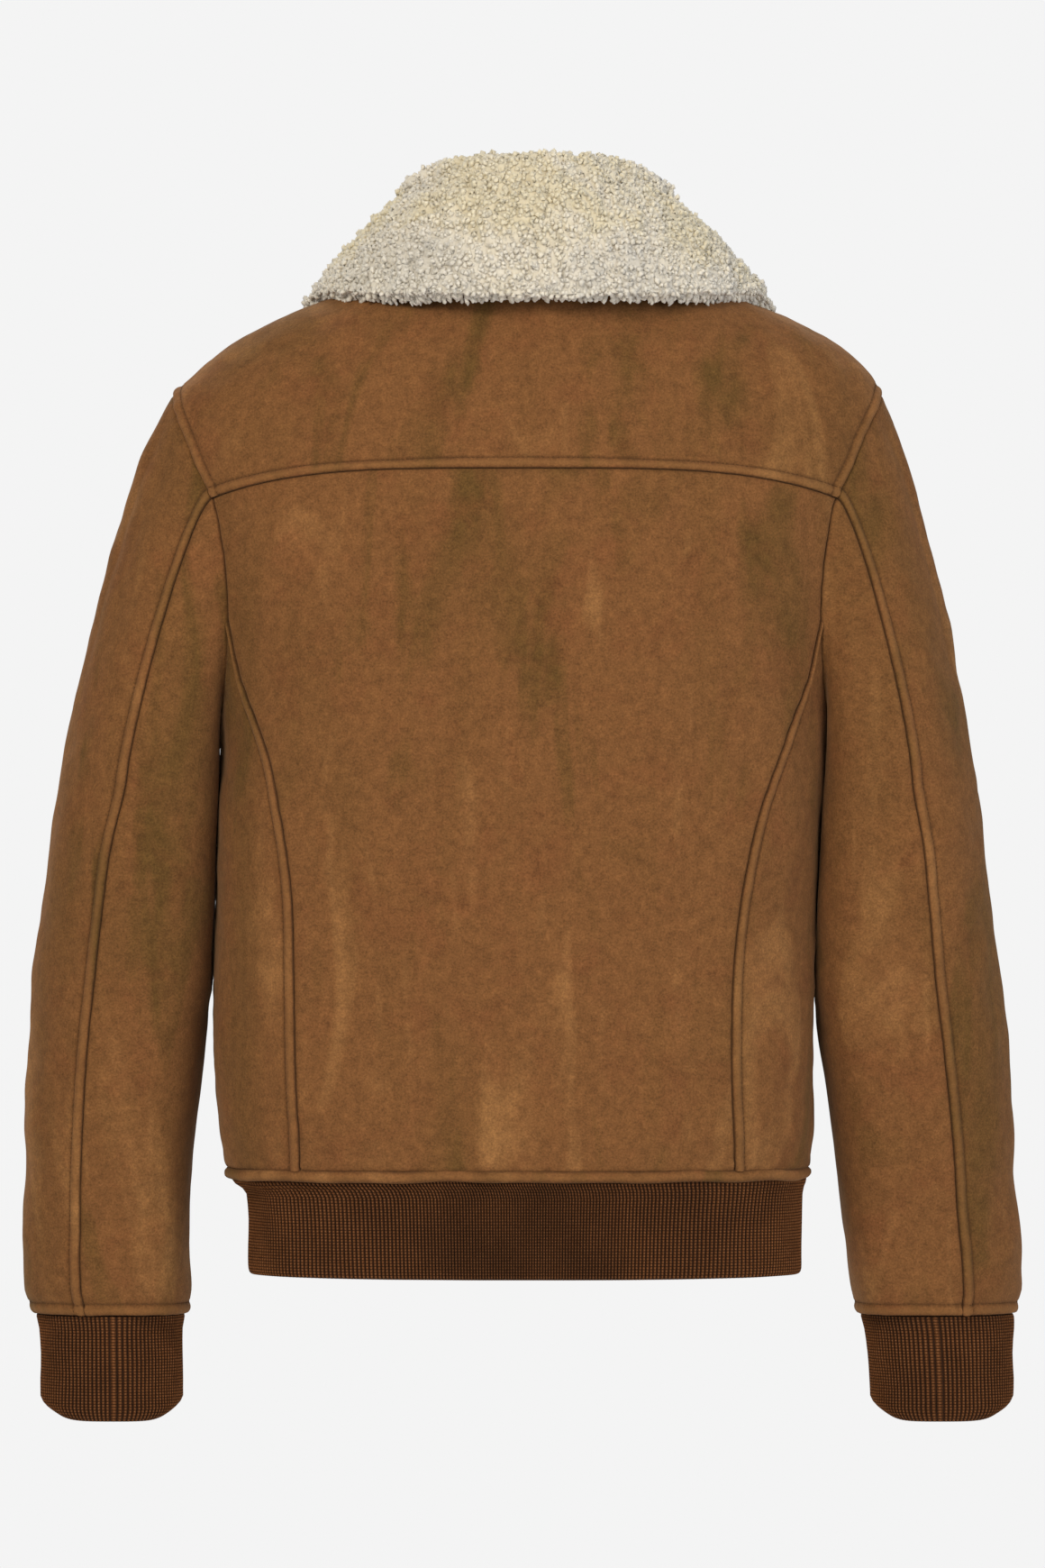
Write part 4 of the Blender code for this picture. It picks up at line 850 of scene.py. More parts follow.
def tape_material():
    """Woven zip tape: a fine herringbone in dark brown."""
    existing = bpy.data.materials.get("Woven zip tape")
    if existing:
        return existing
    made, tree, shader = new_material("Woven zip tape", {
        "Roughness": 0.8, "Specular IOR Level": 0.3, "Sheen Weight": 0.1,
    })
    place = add_node(tree, "SeparateXYZ", i0=add_node(tree, "TexCoord").outputs["Object"])
    zigzag = maths(tree, "PINGPONG", place.outputs[0], 0.0015)
    lines = maths(tree, "SINE", maths(
        tree, "MULTIPLY", maths(tree, "ADD", place.outputs[2], zigzag), 2 * math.pi / 0.0007))
    tone = ramp(tree, spread(tree, lines, -1.0, 1.0), (
        (0.0, linear("#1F140D")), (1.0, linear("#3B2617")),
    ))
    tree.links.new(tone, shader.inputs["Base Color"])
    tree.links.new(bump(tree, lines, 0.0001, 0.8), shader.inputs["Normal"])
    return made


def brass_material():
    """Aged brass of the zip: cast or stamped, brown in its hollows and brighter where handled."""
    existing = bpy.data.materials.get("Aged brass")
    if existing:
        return existing
    look = bpy.context.scene.blouson_zip
    made, tree, shader = new_material("Aged brass", {"Metallic": 1.0})
    place = add_node(tree, "TexCoord").outputs["Object"]
    age = noise(tree, place, 320.0, 4.0, 0.65)
    tone = ramp(tree, age, ((0.35, tuple(look.tarnish)), (0.65, tuple(look.brass))))
    tree.links.new(tone, shader.inputs["Base Color"])
    tree.links.new(spread(tree, age, 0.3, 0.7, 0.52, 0.28), shader.inputs["Roughness"])
    tree.links.new(bump(tree, noise(tree, place, 1800.0), 0.00005, 0.5), shader.inputs["Normal"])
    return made


def thread_material():
    """Waxed brown sewing thread."""
    existing = bpy.data.materials.get("Brown thread")
    if existing:
        return existing
    made, tree, shader = new_material("Brown thread", {
        "Roughness": 0.85, "Specular IOR Level": 0.15,
    })
    twist = noise(tree, add_node(tree, "TexCoord").outputs["Object"], 2200.0)
    tone = ramp(tree, twist, ((0.3, linear("#4A3019")), (0.7, linear("#664526"))))
    tree.links.new(tone, shader.inputs["Base Color"])
    return made


def seam_relief(kinds, distance, points):
    """Height of a panel near its seams, with small puckers beside the stitches, and a colour mask:
    paler lapped ridges from rubbed wear and painted highlight, and painted shade in their grooves
    and along every seam line.
    """
    height = np.zeros(points.shape[:2])
    rubbed = np.zeros(points.shape[:2])
    for kind, away in zip(kinds, distance):
        rise = edge_height(kind, away)
        height = np.where(np.abs(rise) > np.abs(height), rise, height)
        pucker = waves(points, 0.011, 5) * np.exp(-((away / 0.010) ** 2))
        height = height + 0.00016 * pucker
        # Lapped ridge: rubbed wear plus painted highlight. The groove beside it: painted shade.
        if kind == "lap":
            ridge = np.exp(-(((away - 0.0033) / 0.0018) ** 2))
            groove = np.exp(-(((away - 0.0071) / 0.0011) ** 2))
            rubbed = rubbed + 0.8 * ridge - 0.55 * groove
        # Painted shade along the seam line itself.
        rubbed = rubbed - 0.75 * np.exp(-((away / 0.0006) ** 2))
    return height, np.clip(rubbed, -1.0, 1.0)


def stitches(name, rows, pitch=0.0032, thread=0.00026):
    """Short stitches laid in a row along each line. rows holds (points, normals) lines."""
    centres, tangents, ups = [], [], []
    for points, normals in rows:
        step = np.linalg.norm(np.diff(points, axis=0), axis=-1)
        run = np.concatenate([[0.0], np.cumsum(step)])
        at = np.arange(pitch, run[-1] - pitch, pitch)
        centre = np.stack([np.interp(at, run, points[:, k]) for k in range(3)], axis=-1)
        ahead = np.stack([np.interp(at + 1e-4, run, points[:, k]) for k in range(3)], axis=-1)
        up = np.stack([np.interp(at, run, normals[:, k]) for k in range(3)], axis=-1)
        centres.append(centre)
        tangents.append(unit(ahead - centre))
        ups.append(unit(up))
    centre, tangent, up = (np.concatenate(x) for x in (centres, tangents, ups))
    side = np.cross(tangent, up)
    half = 0.36 * pitch
    lengths = np.array([-half, -0.5 * half, 0.5 * half, half])
    sizes = np.array([0.35, 1.0, 1.0, 0.35]) * thread
    drop = np.array([-1.1, 0.25, 0.25, -1.1]) * thread
    turn = np.linspace(0.0, 2 * math.pi, 5)[:-1]
    ring = np.cos(turn)[:, None, None] * side + np.sin(turn)[:, None, None] * up
    points = (
        centre + lengths[:, None, None, None] * tangent + drop[:, None, None, None] * up
        + sizes[:, None, None, None] * ring
    )
    points = np.moveaxis(points, 2, 0)
    count, sections, sides = points.shape[:3]
    index = np.arange(count * sections * sides).reshape(count, sections, sides)
    faces = tube_faces(index)
    piece = add_piece(name, points.reshape(-1, 3), faces.tolist(), [thread_material()])
    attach(piece, "jacket")
    return piece


def tube_faces(index):
    """Quads round many tubes at once. index is tube, section, side."""
    nxt = np.roll(index, -1, axis=2)
    quads = np.stack([index[:, :-1], nxt[:, :-1], nxt[:, 1:], index[:, 1:]], axis=-1)
    return quads.reshape(-1, 4)


def build_body():
    look = bpy.context.scene.blouson_suede
    rows = []
    for number, (name, (seams, kinds)) in enumerate(panel_seams().items()):
        grid, distance = panel_grid(seams, kinds, look.cell)
        angle, z = np.moveaxis(grid, -1, 0)
        base, normal = torso(angle, z), normals_on(torso, angle, z)
        height, rubbed = seam_relief(kinds, distance, base)
        soft = np.clip(np.minimum.reduce(distance) / 0.02, 0.0, 1.0)
        height = height + look.wave * soft * (
            0.6 * waves(base, 0.055, 11) + 0.35 * waves(base, 0.024, 12)
        )
        pile = 0.0006 * waves(base, 0.010, 13)
        outer = trimmed(base + height[..., None] * normal)
        inner = trimmed(base - (SKIN_WALL - pile)[..., None] * normal)
        hide = np.full(rubbed.shape, 0.37 * number)
        piece = add_wall(
            name + "_suede", outer, inner, [suede_material(), pile_material()],
            outward=not name.endswith("_right"), rubbed=rubbed, hide=hide,
        )
        declare_cloth(piece, name)
        for side, kind in enumerate(kinds):
            if kind == "lap":
                rows += lap_lines(side, outer, normal)
    stitches("body_stitches", rows)


def lap_lines(side, outer, normal):
    """The line of the groove beside a lapped seam: the grid line 7.1 mm from that edge."""
    number = [d for d, _ in EDGE_PROFILES["lap"]].index(7.1)
    picked = {0: (number,), 1: (-1 - number,), 2: (slice(None), number),
              3: (slice(None), -1 - number)}[side]
    return [(outer[picked] + 0.0001 * normal[picked], normal[picked])]


def sleeve_tube(side, degrees, z):
    """Points of a sleeve below the cap: an oval, flatter where it faces the body."""
    inner = column(SLEEVE_RINGS, SLEEVE_COLUMNS, side + "_inner", z)
    outer = column(SLEEVE_RINGS, SLEEVE_COLUMNS, side + "_outer", z)
    b = column(SLEEVE_RINGS, SLEEVE_COLUMNS, "half_depth", z)
    y0 = column(SLEEVE_RINGS, SLEEVE_COLUMNS, "centre_y", z)
    c, s = np.cos(np.radians(degrees)), np.sin(np.radians(degrees))
    across = np.where(c < 0, -np.abs(c) ** INNER_ACROSS, c)
    along_y = np.where(c < 0, np.sign(s) * np.abs(s) ** INNER_DEPTH, s)
    fold = np.zeros(np.broadcast(degrees, z).shape)
    for middle, spread_by, height, slant, width, depth in SLEEVE_FOLDS:
        turned = (np.asarray(degrees) - middle + 180.0) % 360.0 - 180.0
        line = height + slant * turned / spread_by
        bell = np.exp(-(((z - line) / width) ** 2) - (turned / spread_by) ** 2)
        fold = fold + depth * bell
    shrink = 1 - fold / 0.055
    x = (inner + outer) / 2 + (outer - inner) / 2 * across * shrink
    z = np.broadcast_to(z, x.shape)
    y = y0 + b * along_y * shrink
    x = np.maximum(x, flank_x(side, y, z) + SLEEVE_CLEARANCE)
    points = np.stack([x, y, z], axis=-1)
    return points if side == "left" else points * (-1.0, 1.0, 1.0)


def flank_x(side, y, z):
    """How far the body reaches to this side, at a depth and height."""
    a, n, back, front, centre = (
        column(TORSO_RINGS, TORSO_COLUMNS, name, z)
        for name in ("half_width", "squareness", "back", "front", "centre_x")
    )
    b = np.where(y > 0, back, front)
    reach = a * np.maximum(1 - (np.abs(y) / b) ** n, 0.0) ** (1 / n)
    return np.where(z > HEM_Z, reach + (centre if side == "left" else -centre), 0.0)


def sleeve_degrees(z):
    """Each grid column's place round the sleeve, under half first."""
    back = column(SLEEVE_BACK_SEAM, SLEEVE_SEAM_COLUMNS, "degrees", z)
    under_parts = FINE * sum(ARMHOLE_PARTS[1:4])
    top_parts = FINE * (ARMHOLE_PARTS[4] + ARMHOLE_PARTS[0])
    front = SLEEVE_FRONT_SEAM_DEGREES
    under = back + (front - back) * np.linspace(0.0, 1.0, under_parts + 1)
    top = front + (360.0 + back - front) * np.linspace(0.0, 1.0, top_parts + 1)
    return np.concatenate([under, top[1:]])


def armhole_frame(side):
    """The armhole's points, the torso's normals there and the directions into the hole."""
    degrees = np.concatenate([armhole_degrees(1, 5), armhole_degrees(0, 1)[1:] + 360.0])
    step = 0.5

    def on_torso(at):
        angle, z = np.moveaxis(armhole_seam(at % 360.0), -1, 0)
        angle = angle if side == "left" else -angle
        return torso(angle, z), normals_on(torso, angle, z)

    points, normal = on_torso(degrees)
    tangent = unit(on_torso(degrees + step)[0] - on_torso(degrees - step)[0])
    inward = unit(np.cross(normal, tangent))
    centre = points.mean(axis=0)
    facing = ((centre - points) * inward).sum(axis=-1)
    return degrees, points, normal, inward * np.sign(facing)[:, None]


def sleeve_surface(side, cell):
    """The sleeve's outer points and wall directions, from the armhole down to its hem."""
    degrees, start, torso_normal, into = armhole_frame(side)
    z = SLEEVE_TOP_RING_Z
    place = sleeve_degrees(z)
    end = sleeve_tube(side, place, z)
    down = unit(sleeve_tube(side, place, z - 0.002) - end)
    lift_out = math.pi / 4 * (1 - np.cos(np.radians(degrees)))
    leave = np.cos(lift_out)[:, None] * into + np.sin(lift_out)[:, None] * torso_normal
    length = np.linalg.norm(end - start, axis=-1)[:, None]
    from_tip = (degrees % 360.0)[:, None]
    first = length * column(CAP_LEAVE, CAP_LEAVE_COLUMNS, "pull", from_tip, key="degrees")
    last = 0.62 * length
    start = start + into * EDGE_TRIM
    steps = np.linspace(0.0, 1.0, int(round(0.25 / cell)) + 1) ** 1.4
    t = steps[:, None, None]
    cap = (
        (1 + 2 * t) * (1 - t) ** 2 * start + t * (1 - t) ** 2 * first * leave
        + t * t * (3 - 2 * t) * end + t * t * (t - 1) * last * down
    )
    lines = SLEEVE_HEM_Z + np.array(EDGE_PROFILES["lap"])[::-1, 0] / 1000
    zs = np.linspace(z, lines[0], int(round((z - lines[0]) / cell)) + 1)[1:-1]
    tube = np.stack([sleeve_tube(side, sleeve_degrees(at), at) for at in (*zs, *lines)])
    outer = np.concatenate([cap, tube])

    ring = outer[:, :-1]
    around = np.roll(ring, -1, axis=1) - np.roll(ring, 1, axis=1)
    normal = unit(np.cross(around, np.gradient(ring, axis=0)))
    middle = ring.mean(axis=1, keepdims=True)
    away = (normal * (ring - middle)).sum(axis=-1).mean()
    own = -np.sign(away) * np.concatenate([normal, normal[:, :1]], axis=1)
    turned = np.interp(steps, (0.0, 0.05, 0.12, 0.24), (0.0, 0.333, 0.667, 1.0)) ** 0.7
    target = own[int(np.argmax(steps >= 0.24))]
    angle = np.arctan2((target * into).sum(-1), (-target * torso_normal).sum(-1))
    angle = np.where(angle < -math.pi / 2, angle + 2 * math.pi, angle)
    part = (turned[:, None] * angle)[..., None]
    turning = -np.cos(part) * torso_normal + np.sin(part) * into
    own[: len(steps)] = np.where(turned[:, None, None] < 1.0, turning, own[: len(steps)])
    return outer, own


def respaced(points, others, near, far, cell):
    """Puts each row's points at even distances, with close lines at the given ones from its ends.

    Returns the points, the other grid read at the same places, and distances from both ends.
    """
    step = np.linalg.norm(np.diff(points, axis=1), axis=-1)
    run = np.concatenate([np.zeros((len(points), 1)), np.cumsum(step, axis=1)], axis=1)
    total = run[:, -1]
    places = across_lines(total, total, int(round(total.max() / cell)), near, far)
    places = places * total[:, None]
    both = np.concatenate([points, others], axis=-1)
    moved = np.stack([
        np.stack([np.interp(at, reach, values[:, k]) for k in range(6)], axis=-1)
        for at, reach, values in zip(places, run, both)
    ])
    return moved[..., :3], unit(moved[..., 3:]), places, total[:, None] - places


def build_sleeves():
    look = bpy.context.scene.blouson_suede
    rows = []
    for side in ("left", "right"):
        outer, direction = sleeve_surface(side, look.cell)
        split = FINE * sum(ARMHOLE_PARTS[1:4])
        halves = {
            "sleeve_under_": (slice(0, split + 1), ("under", "butt")),
            "sleeve_top_": (slice(split, outer.shape[1]), ("butt", "lap")),
        }
        for number, (half, (columns, kinds)) in enumerate(halves.items()):
            near, far = (edge_lines(kind, look.cell) for kind in kinds)
            points, way, before, after = respaced(
                outer[:, columns], direction[:, columns], near, far, look.cell
            )
            step = np.linalg.norm(np.diff(points, axis=0), axis=-1)
            from_top = np.concatenate([np.zeros((1, step.shape[1])), np.cumsum(step, axis=0)])
            from_hem = points[..., 2] - points[-1:, :, 2]
            distance = (from_top, from_hem, before, after)
            edge_kinds = ("butt", "lap", *kinds)
            height, rubbed = seam_relief(edge_kinds, distance, points)
            soft = np.clip(np.minimum.reduce(distance) / 0.02, 0.0, 1.0)
            turned_out = np.clip(0.5 + np.abs(points[..., 0]) / 0.05 - 4.2, 0.15, 1.0)
            height = height + look.wave * soft * turned_out * (
                0.6 * waves(points, 0.055, 11) + 0.35 * waves(points, 0.024, 12)
            )
            pile = 0.0006 * waves(points, 0.010, 13)
            face = trimmed(points - height[..., None] * way)
            inner = trimmed(points + (SKIN_WALL - pile)[..., None] * way)
            hide = np.full(rubbed.shape, 2.3 + 0.41 * number + (0.9 if side == "left" else 0.0))
            name = half + side
            piece = add_wall(
                name + "_suede", face, inner, [suede_material(), pile_material()],
                outward=side == "right", rubbed=rubbed, hide=hide,
            )
            declare_cloth(piece, name)
            if "lap" in kinds:
                rows += lap_lines(3, face, -way)
            rows += lap_lines(1, face, -way)
    stitches("sleeve_stitches", rows)


def waist_angles(parts):
    """Angles from the zip's left edge round the back to its right edge."""
    end = front_edge_angle(HEM_Z)
    return np.linspace(end, -end, parts + 1)


def build_hem_strip():
    angle = waist_angles(420)[None, :]
    drop = np.array([-0.0008, 0.0, 0.0006, 0.0014, 0.0026, 0.0040, 0.0052, 0.0062, 0.0070])
    lift = np.array([-0.0008, 0.0006, 0.0015, 0.0022, 0.0026, 0.0026, 0.0020, 0.0010, -0.0006])
    z = (HEM_Z - drop)[:, None]
    angle, z = np.broadcast_arrays(angle, z)
    base = torso(angle, z)
    normal = normals_on(torso, angle, z)
    uneven = 0.0003 * waves(base, 0.030, 21) + 0.00015 * waves(base, 0.009, 22)
    inside = np.sin(np.linspace(0.0, math.pi, len(drop)))[:, None]
    outer = base + (lift[:, None] + uneven * inside)[..., None] * normal
    outer[..., 2] += 0.0004 * waves(base * (1.0, 1.0, 0.0), 0.045, 23)
    # Painted shade along the strip's top groove and under its lower roll; rubbed wear and painted
    # highlight on its ridge.
    rubbed = np.broadcast_to(np.interp(
        drop, (-0.0008, 0.0006, 0.0035, 0.0066), (-0.8, 0.0, 0.7, -0.4))[:, None], z.shape)
    inner = base - SKIN_WALL * normal
    piece = add_wall(
        "hem_strip_suede", trimmed(outer), trimmed(inner), [suede_material(), pile_material()],
        outward=False, rubbed=rubbed, hide=np.full(z.shape, 5.1),
    )
    declare_cloth(piece, "hem_welt")


def rib_height(columns, per_rib):
    """A rounded ridge on every rib: 1 on its crown, 0 between the ribs."""
    phase = (np.arange(columns) % per_rib) / per_rib
    return (0.5 + 0.5 * np.cos(2 * math.pi * phase)) ** 0.75


def build_waistband():
    look = bpy.context.scene.blouson_knit
    per_rib = 6
    columns = per_rib * look.waist_ribs
    angle = waist_angles(columns)
    rows = np.array([
        -0.03, 0.0, 0.03, 0.08, 0.16, 0.28, 0.42, 0.56, 0.70, 0.82, 0.90, 0.945, 0.975, 0.992, 1.0,
    ])[:, None]
    bottom = WAISTBAND_BOTTOM_Z + WAISTBAND_SIDE_RISE * np.sin(angle) ** 4
    z = WELT_BOTTOM_Z + (bottom[None, :] - WELT_BOTTOM_Z) * rows
    angle = np.broadcast_to(angle, z.shape)
    base = waistband_surface(angle, z)
    normal = normals_on(waistband_surface, angle, z)
    rounding = np.array([0.0] * 10 + [0.0, 0.0001, 0.0004, 0.0009, 0.0015])[:, None]
    full = np.array([0.6] + [1.0] * 11 + [0.9, 0.7, 0.4])[:, None]
    ridge = rib_height(columns + 1, per_rib)[None, :]
    drift = 0.0004 * waves(base, 0.040, 31)
    height = look.rib * ridge * full - rounding + drift
    outer = base + height[..., None] * normal
    inner = base - (KNIT_WALL - rounding - drift - 0.4 * look.rib * ridge)[..., None] * normal
    down = WELT_BOTTOM_Z - z
    piece = add_wall(
        "waistband_knit", trimmed(outer), trimmed(inner), [knit_material(), knit_material()],
        outward=False, row=down / look.stitch, ridge=np.broadcast_to(ridge, z.shape),
    )
    declare_cloth(piece, "waistband")


def build_cuff(side):
    look = bpy.context.scene.blouson_knit
    per_rib = 6
    columns = per_rib * look.cuff_ribs
    degrees = np.linspace(0.0, 360.0, columns, endpoint=False)
    rows = np.array([
        0.0, 0.03, 0.08, 0.16, 0.28, 0.42, 0.56, 0.70, 0.80, 0.88, 0.93, 0.965, 0.985, 1.0,
    ])[:, None]
    c, s = np.cos(np.radians(degrees)), np.sin(np.radians(degrees))
    bottom = CUFF_BOTTOM_Z + 0.008 * np.abs(c) ** 5
    top = SLEEVE_HEM_Z - 0.0006
    z = top + (bottom[None, :] - top) * rows
    inner_x, outer_x, b, y0 = (
        column(SLEEVE_RINGS, SLEEVE_COLUMNS, name, z)
        for name in (side + "_inner", side + "_outer", "half_depth", "centre_y")
    )
    draw_in = np.interp(rows, (0.0, 0.12, 0.90, 1.0), (0.0012, 0.0, 0.0, 0.0045))
    across = np.where(c < 0, -np.abs(c) ** 0.8, c)[None, :]
    x = (inner_x + outer_x) / 2 + ((outer_x - inner_x) / 2 - draw_in) * across
    base = np.stack([x, y0 + (b - draw_in / 3) * s[None, :], z], axis=-1)
    around = np.roll(base, -1, axis=1) - np.roll(base, 1, axis=1)
    normal = unit(np.cross(np.gradient(base, axis=0), around) * (1.0, 1.0, 0.0))
    rounding = np.array([0.0] * 10 + [0.0001, 0.0004, 0.0009, 0.0015])[:, None]
    full = np.array([0.5] + [1.0] * 10 + [0.9, 0.7, 0.4])[:, None]
    ridge = rib_height(columns, per_rib)[None, :]
    drift = 0.0003 * waves(base, 0.030, 33)
    height = look.rib * (ridge * full - 1.0) - rounding + drift
    outer = base + height[..., None] * normal
    depth = KNIT_WALL + look.rib * (1.0 - 0.4 * ridge) - rounding - drift
    inner = base - depth[..., None] * normal
    if side == "right":
        outer, inner = outer * (-1.0, 1.0, 1.0), inner * (-1.0, 1.0, 1.0)
    row = (top - z) / look.stitch
    piece = add_wall(
        "cuff_" + side + "_knit", trimmed(outer, closed=True), trimmed(inner, closed=True),
        [knit_material(), knit_material()], closed=True, outward=side == "right",
        row=row, ridge=np.broadcast_to(ridge, z.shape),
    )
    declare_cloth(piece, "cuff_" + side)


def spline(knots, at):
    """Catmull-Rom curve through the knots, which are the first axis."""
    first, last = 2 * knots[0] - knots[1], 2 * knots[-1] - knots[-2]
    all_knots = np.concatenate([first[None], knots, last[None]])
    cell = np.clip(at.astype(int), 0, len(knots) - 2)
    t = (at - cell).reshape(-1, *([1] * (knots.ndim - 1)))
    p0, p1, p2, p3 = (all_knots[cell + k] for k in range(4))
    return 0.5 * (
        2 * p1 + (p2 - p0) * t + (2 * p0 - 5 * p1 + 4 * p2 - p3) * t**2
        + (3 * p1 - p0 - 3 * p2 + p3) * t**3
    )


def clear_of_body(radius, z, angle, weight, half):
    """Moves the fall's points out along the body's normal to where its underside lies clear."""
    for _ in range(6):
        surface = ring_radius(TORSO_RINGS, angle, z)
        slope = (ring_radius(TORSO_RINGS, angle, z + 0.001) - surface) / 0.001
        slant = np.sqrt(1 + slope**2)
        short = weight * np.maximum(half + COLLAR_CLEARANCE - (radius - surface) / slant, 0.0)
        radius, z = radius + short / slant, z - short * slope / slant
    return radius, z


def collar_surface(parts, rows):
    """The collar's middle surface, its outward normals and half thickness on a grid.

    Rows run from the neck seam up the stand, over the roll and down the fall.
    """
    share = np.linspace(-1.0, 1.0, parts + 1)
    sign = np.sign(share)

    def read(name):
        return column(COLLAR_SECTIONS, COLLAR_COLUMNS, name, np.abs(share), key="share")

    seam_angle = np.radians(read("seam_angle"))
    roll_angle, edge_angle = np.radians(read("roll_angle")), np.radians(read("edge_angle"))
    seam_z = neck_z(seam_angle)
    outer_face = ring_radius(TORSO_RINGS, seam_angle, seam_z)
    seam = np.stack([outer_face - SKIN_WALL / 2, seam_z + 0.0012], axis=-1)
    roll = np.stack([read("roll_radius"), read("roll_z")], axis=-1)
    edge = np.stack([read("edge_radius"), read("edge_z")], axis=-1)
    r = COLLAR_ROLL_RADIUS
    up = roll + (-r, -0.003)
    over = roll + (0.0, 0.75 * r)
    down = roll + (r, -0.003)
    stand = seam + (up - seam) * 0.5 + (0.0015, 0.0)
    fall_high = down + (edge - down) * 0.33 + (0.0035, 0.0040)
    fall_low = down + (edge - down) * 0.70 + (0.0030, 0.0035)
    knots = np.stack([seam, stand, up, over, down, fall_high, fall_low, edge])
    knot_angle = np.stack([
        seam_angle, (seam_angle + roll_angle) / 2, roll_angle, roll_angle, roll_angle,
        roll_angle + (edge_angle - roll_angle) * 0.33,
        roll_angle + (edge_angle - roll_angle) * 0.70, edge_angle,
    ])
    place = np.linspace(0.0, 7.0, rows + 1)
    line = spline(knots, place)
    angle = spline(knot_angle[..., None], place)[..., 0] * sign
    seam_part = np.clip(place / 1.5, 0.0, 1.0)
    half = (SKIN_WALL + (COLLAR_WALL - SKIN_WALL) * seam_part) / 2
    half = half * np.interp(place, (6.6, 7.0), (1.0, 0.55))
    on_body = np.clip((place - 3.5) / 0.5, 0.0, 1.0)[:, None]
    radius, z = clear_of_body(line[..., 0], line[..., 1], angle, on_body, half[:, None])
    centre = column(TORSO_RINGS, TORSO_COLUMNS, "centre_x", seam_z)
    centre = centre + COLLAR_LEAN * np.clip(place[:, None] / 7.0, 0.0, 1.0) ** 2
    middle = np.stack([centre + radius * np.sin(angle), radius * np.cos(angle), z], axis=-1)
    normal = unit(np.cross(np.gradient(middle, axis=1), np.gradient(middle, axis=0)))
    return middle, normal, half[:, None]


def scattered(points, normals, spacing, rng):
    """Evenly spread, jittered places on a grid's face: position, normal, and direction down it."""
    spots, ups, downs = [], [], []
    lengths = np.linalg.norm(np.diff(points, axis=0), axis=-1)
    down_run = np.concatenate([[0.0], np.cumsum(lengths.mean(axis=1))])
    for at in np.arange(spacing / 2, down_run[-1], spacing):
        row = float(np.interp(at, down_run, np.arange(len(points))))
        low = min(int(row), len(points) - 2)
        t = row - low
        line = points[low] * (1 - t) + points[low + 1] * t
        line_normal = normals[low] * (1 - t) + normals[low + 1] * t
        line_down = unit(points[low + 1] - points[low])
        run = np.concatenate([[0.0], np.cumsum(np.linalg.norm(np.diff(line, axis=0), axis=-1))])
        places = np.arange(0.0, run[-1], spacing) + rng.uniform(0, spacing)
        places = places + rng.uniform(-0.4, 0.4, len(places)) * spacing
        slip = rng.uniform(-0.4, 0.4, len(places)) * spacing
        read = [
            np.stack([np.interp(places, run, grid[:, k]) for k in range(3)], axis=-1)
            for grid in (line, line_normal, line_down)
        ]
        spots.append(read[0] + slip[:, None] * read[2])
        ups.append(unit(read[1]))
        downs.append(unit(read[2]))
    return np.concatenate(spots), np.concatenate(ups), np.concatenate(downs)


def curls(spots, ups, downs, size, rng, sections=5, sides=4):
    """Small arcs of wool standing on the spots, as tubes that end inside the collar.

    A curl's middle line is p + R (cos a e1 + sin a e2) + h(a) n for a sweep of the angle a.
    """
    count = len(spots)
    tilt = unit(ups + 0.55 * rng.normal(size=(count, 3)))
    across = unit(np.cross(tilt, unit(rng.normal(size=(count, 3)) + downs)))
    other = np.cross(tilt, across)
    bend = size * rng.uniform(0.20, 0.34, count)
    thick = size * rng.uniform(0.32, 0.44, count)
    first = rng.uniform(0.0, 2 * math.pi, count)
    sweep = rng.uniform(3.4, 5.4, count) * rng.choice([-1.0, 1.0], count)
    share = np.linspace(0.0, 1.0, sections)
    angle = first[:, None] + sweep[:, None] * share
    radial = np.cos(angle)[..., None] * across[:, None] + np.sin(angle)[..., None] * other[:, None]
    arch = np.sin(math.pi * share)
    rise = size * rng.uniform(0.15, 0.60, count)[:, None] * arch - 0.20 * size
    middle = spots[:, None] + bend[:, None, None] * radial + rise[..., None] * ups[:, None]
    width = thick[:, None] * (0.45 + 0.55 * arch)
    turn = np.linspace(0.0, 2 * math.pi, sides + 1)[:-1]
    ring = (
        np.cos(turn)[:, None] * radial[:, :, None] + np.sin(turn)[:, None] * tilt[:, None, None]
    )
    points = middle[:, :, None] + width[..., None, None] * ring
    # Mask of the painted shade: 0.25 at the roots, 1 at the top of the arch.
    depth = np.broadcast_to((arch * 0.75 + 0.25)[None, :, None], points.shape[:3])
    tone = np.broadcast_to(rng.uniform(0.0, 1.0, count)[:, None, None], points.shape[:3])
    return points, depth, tone


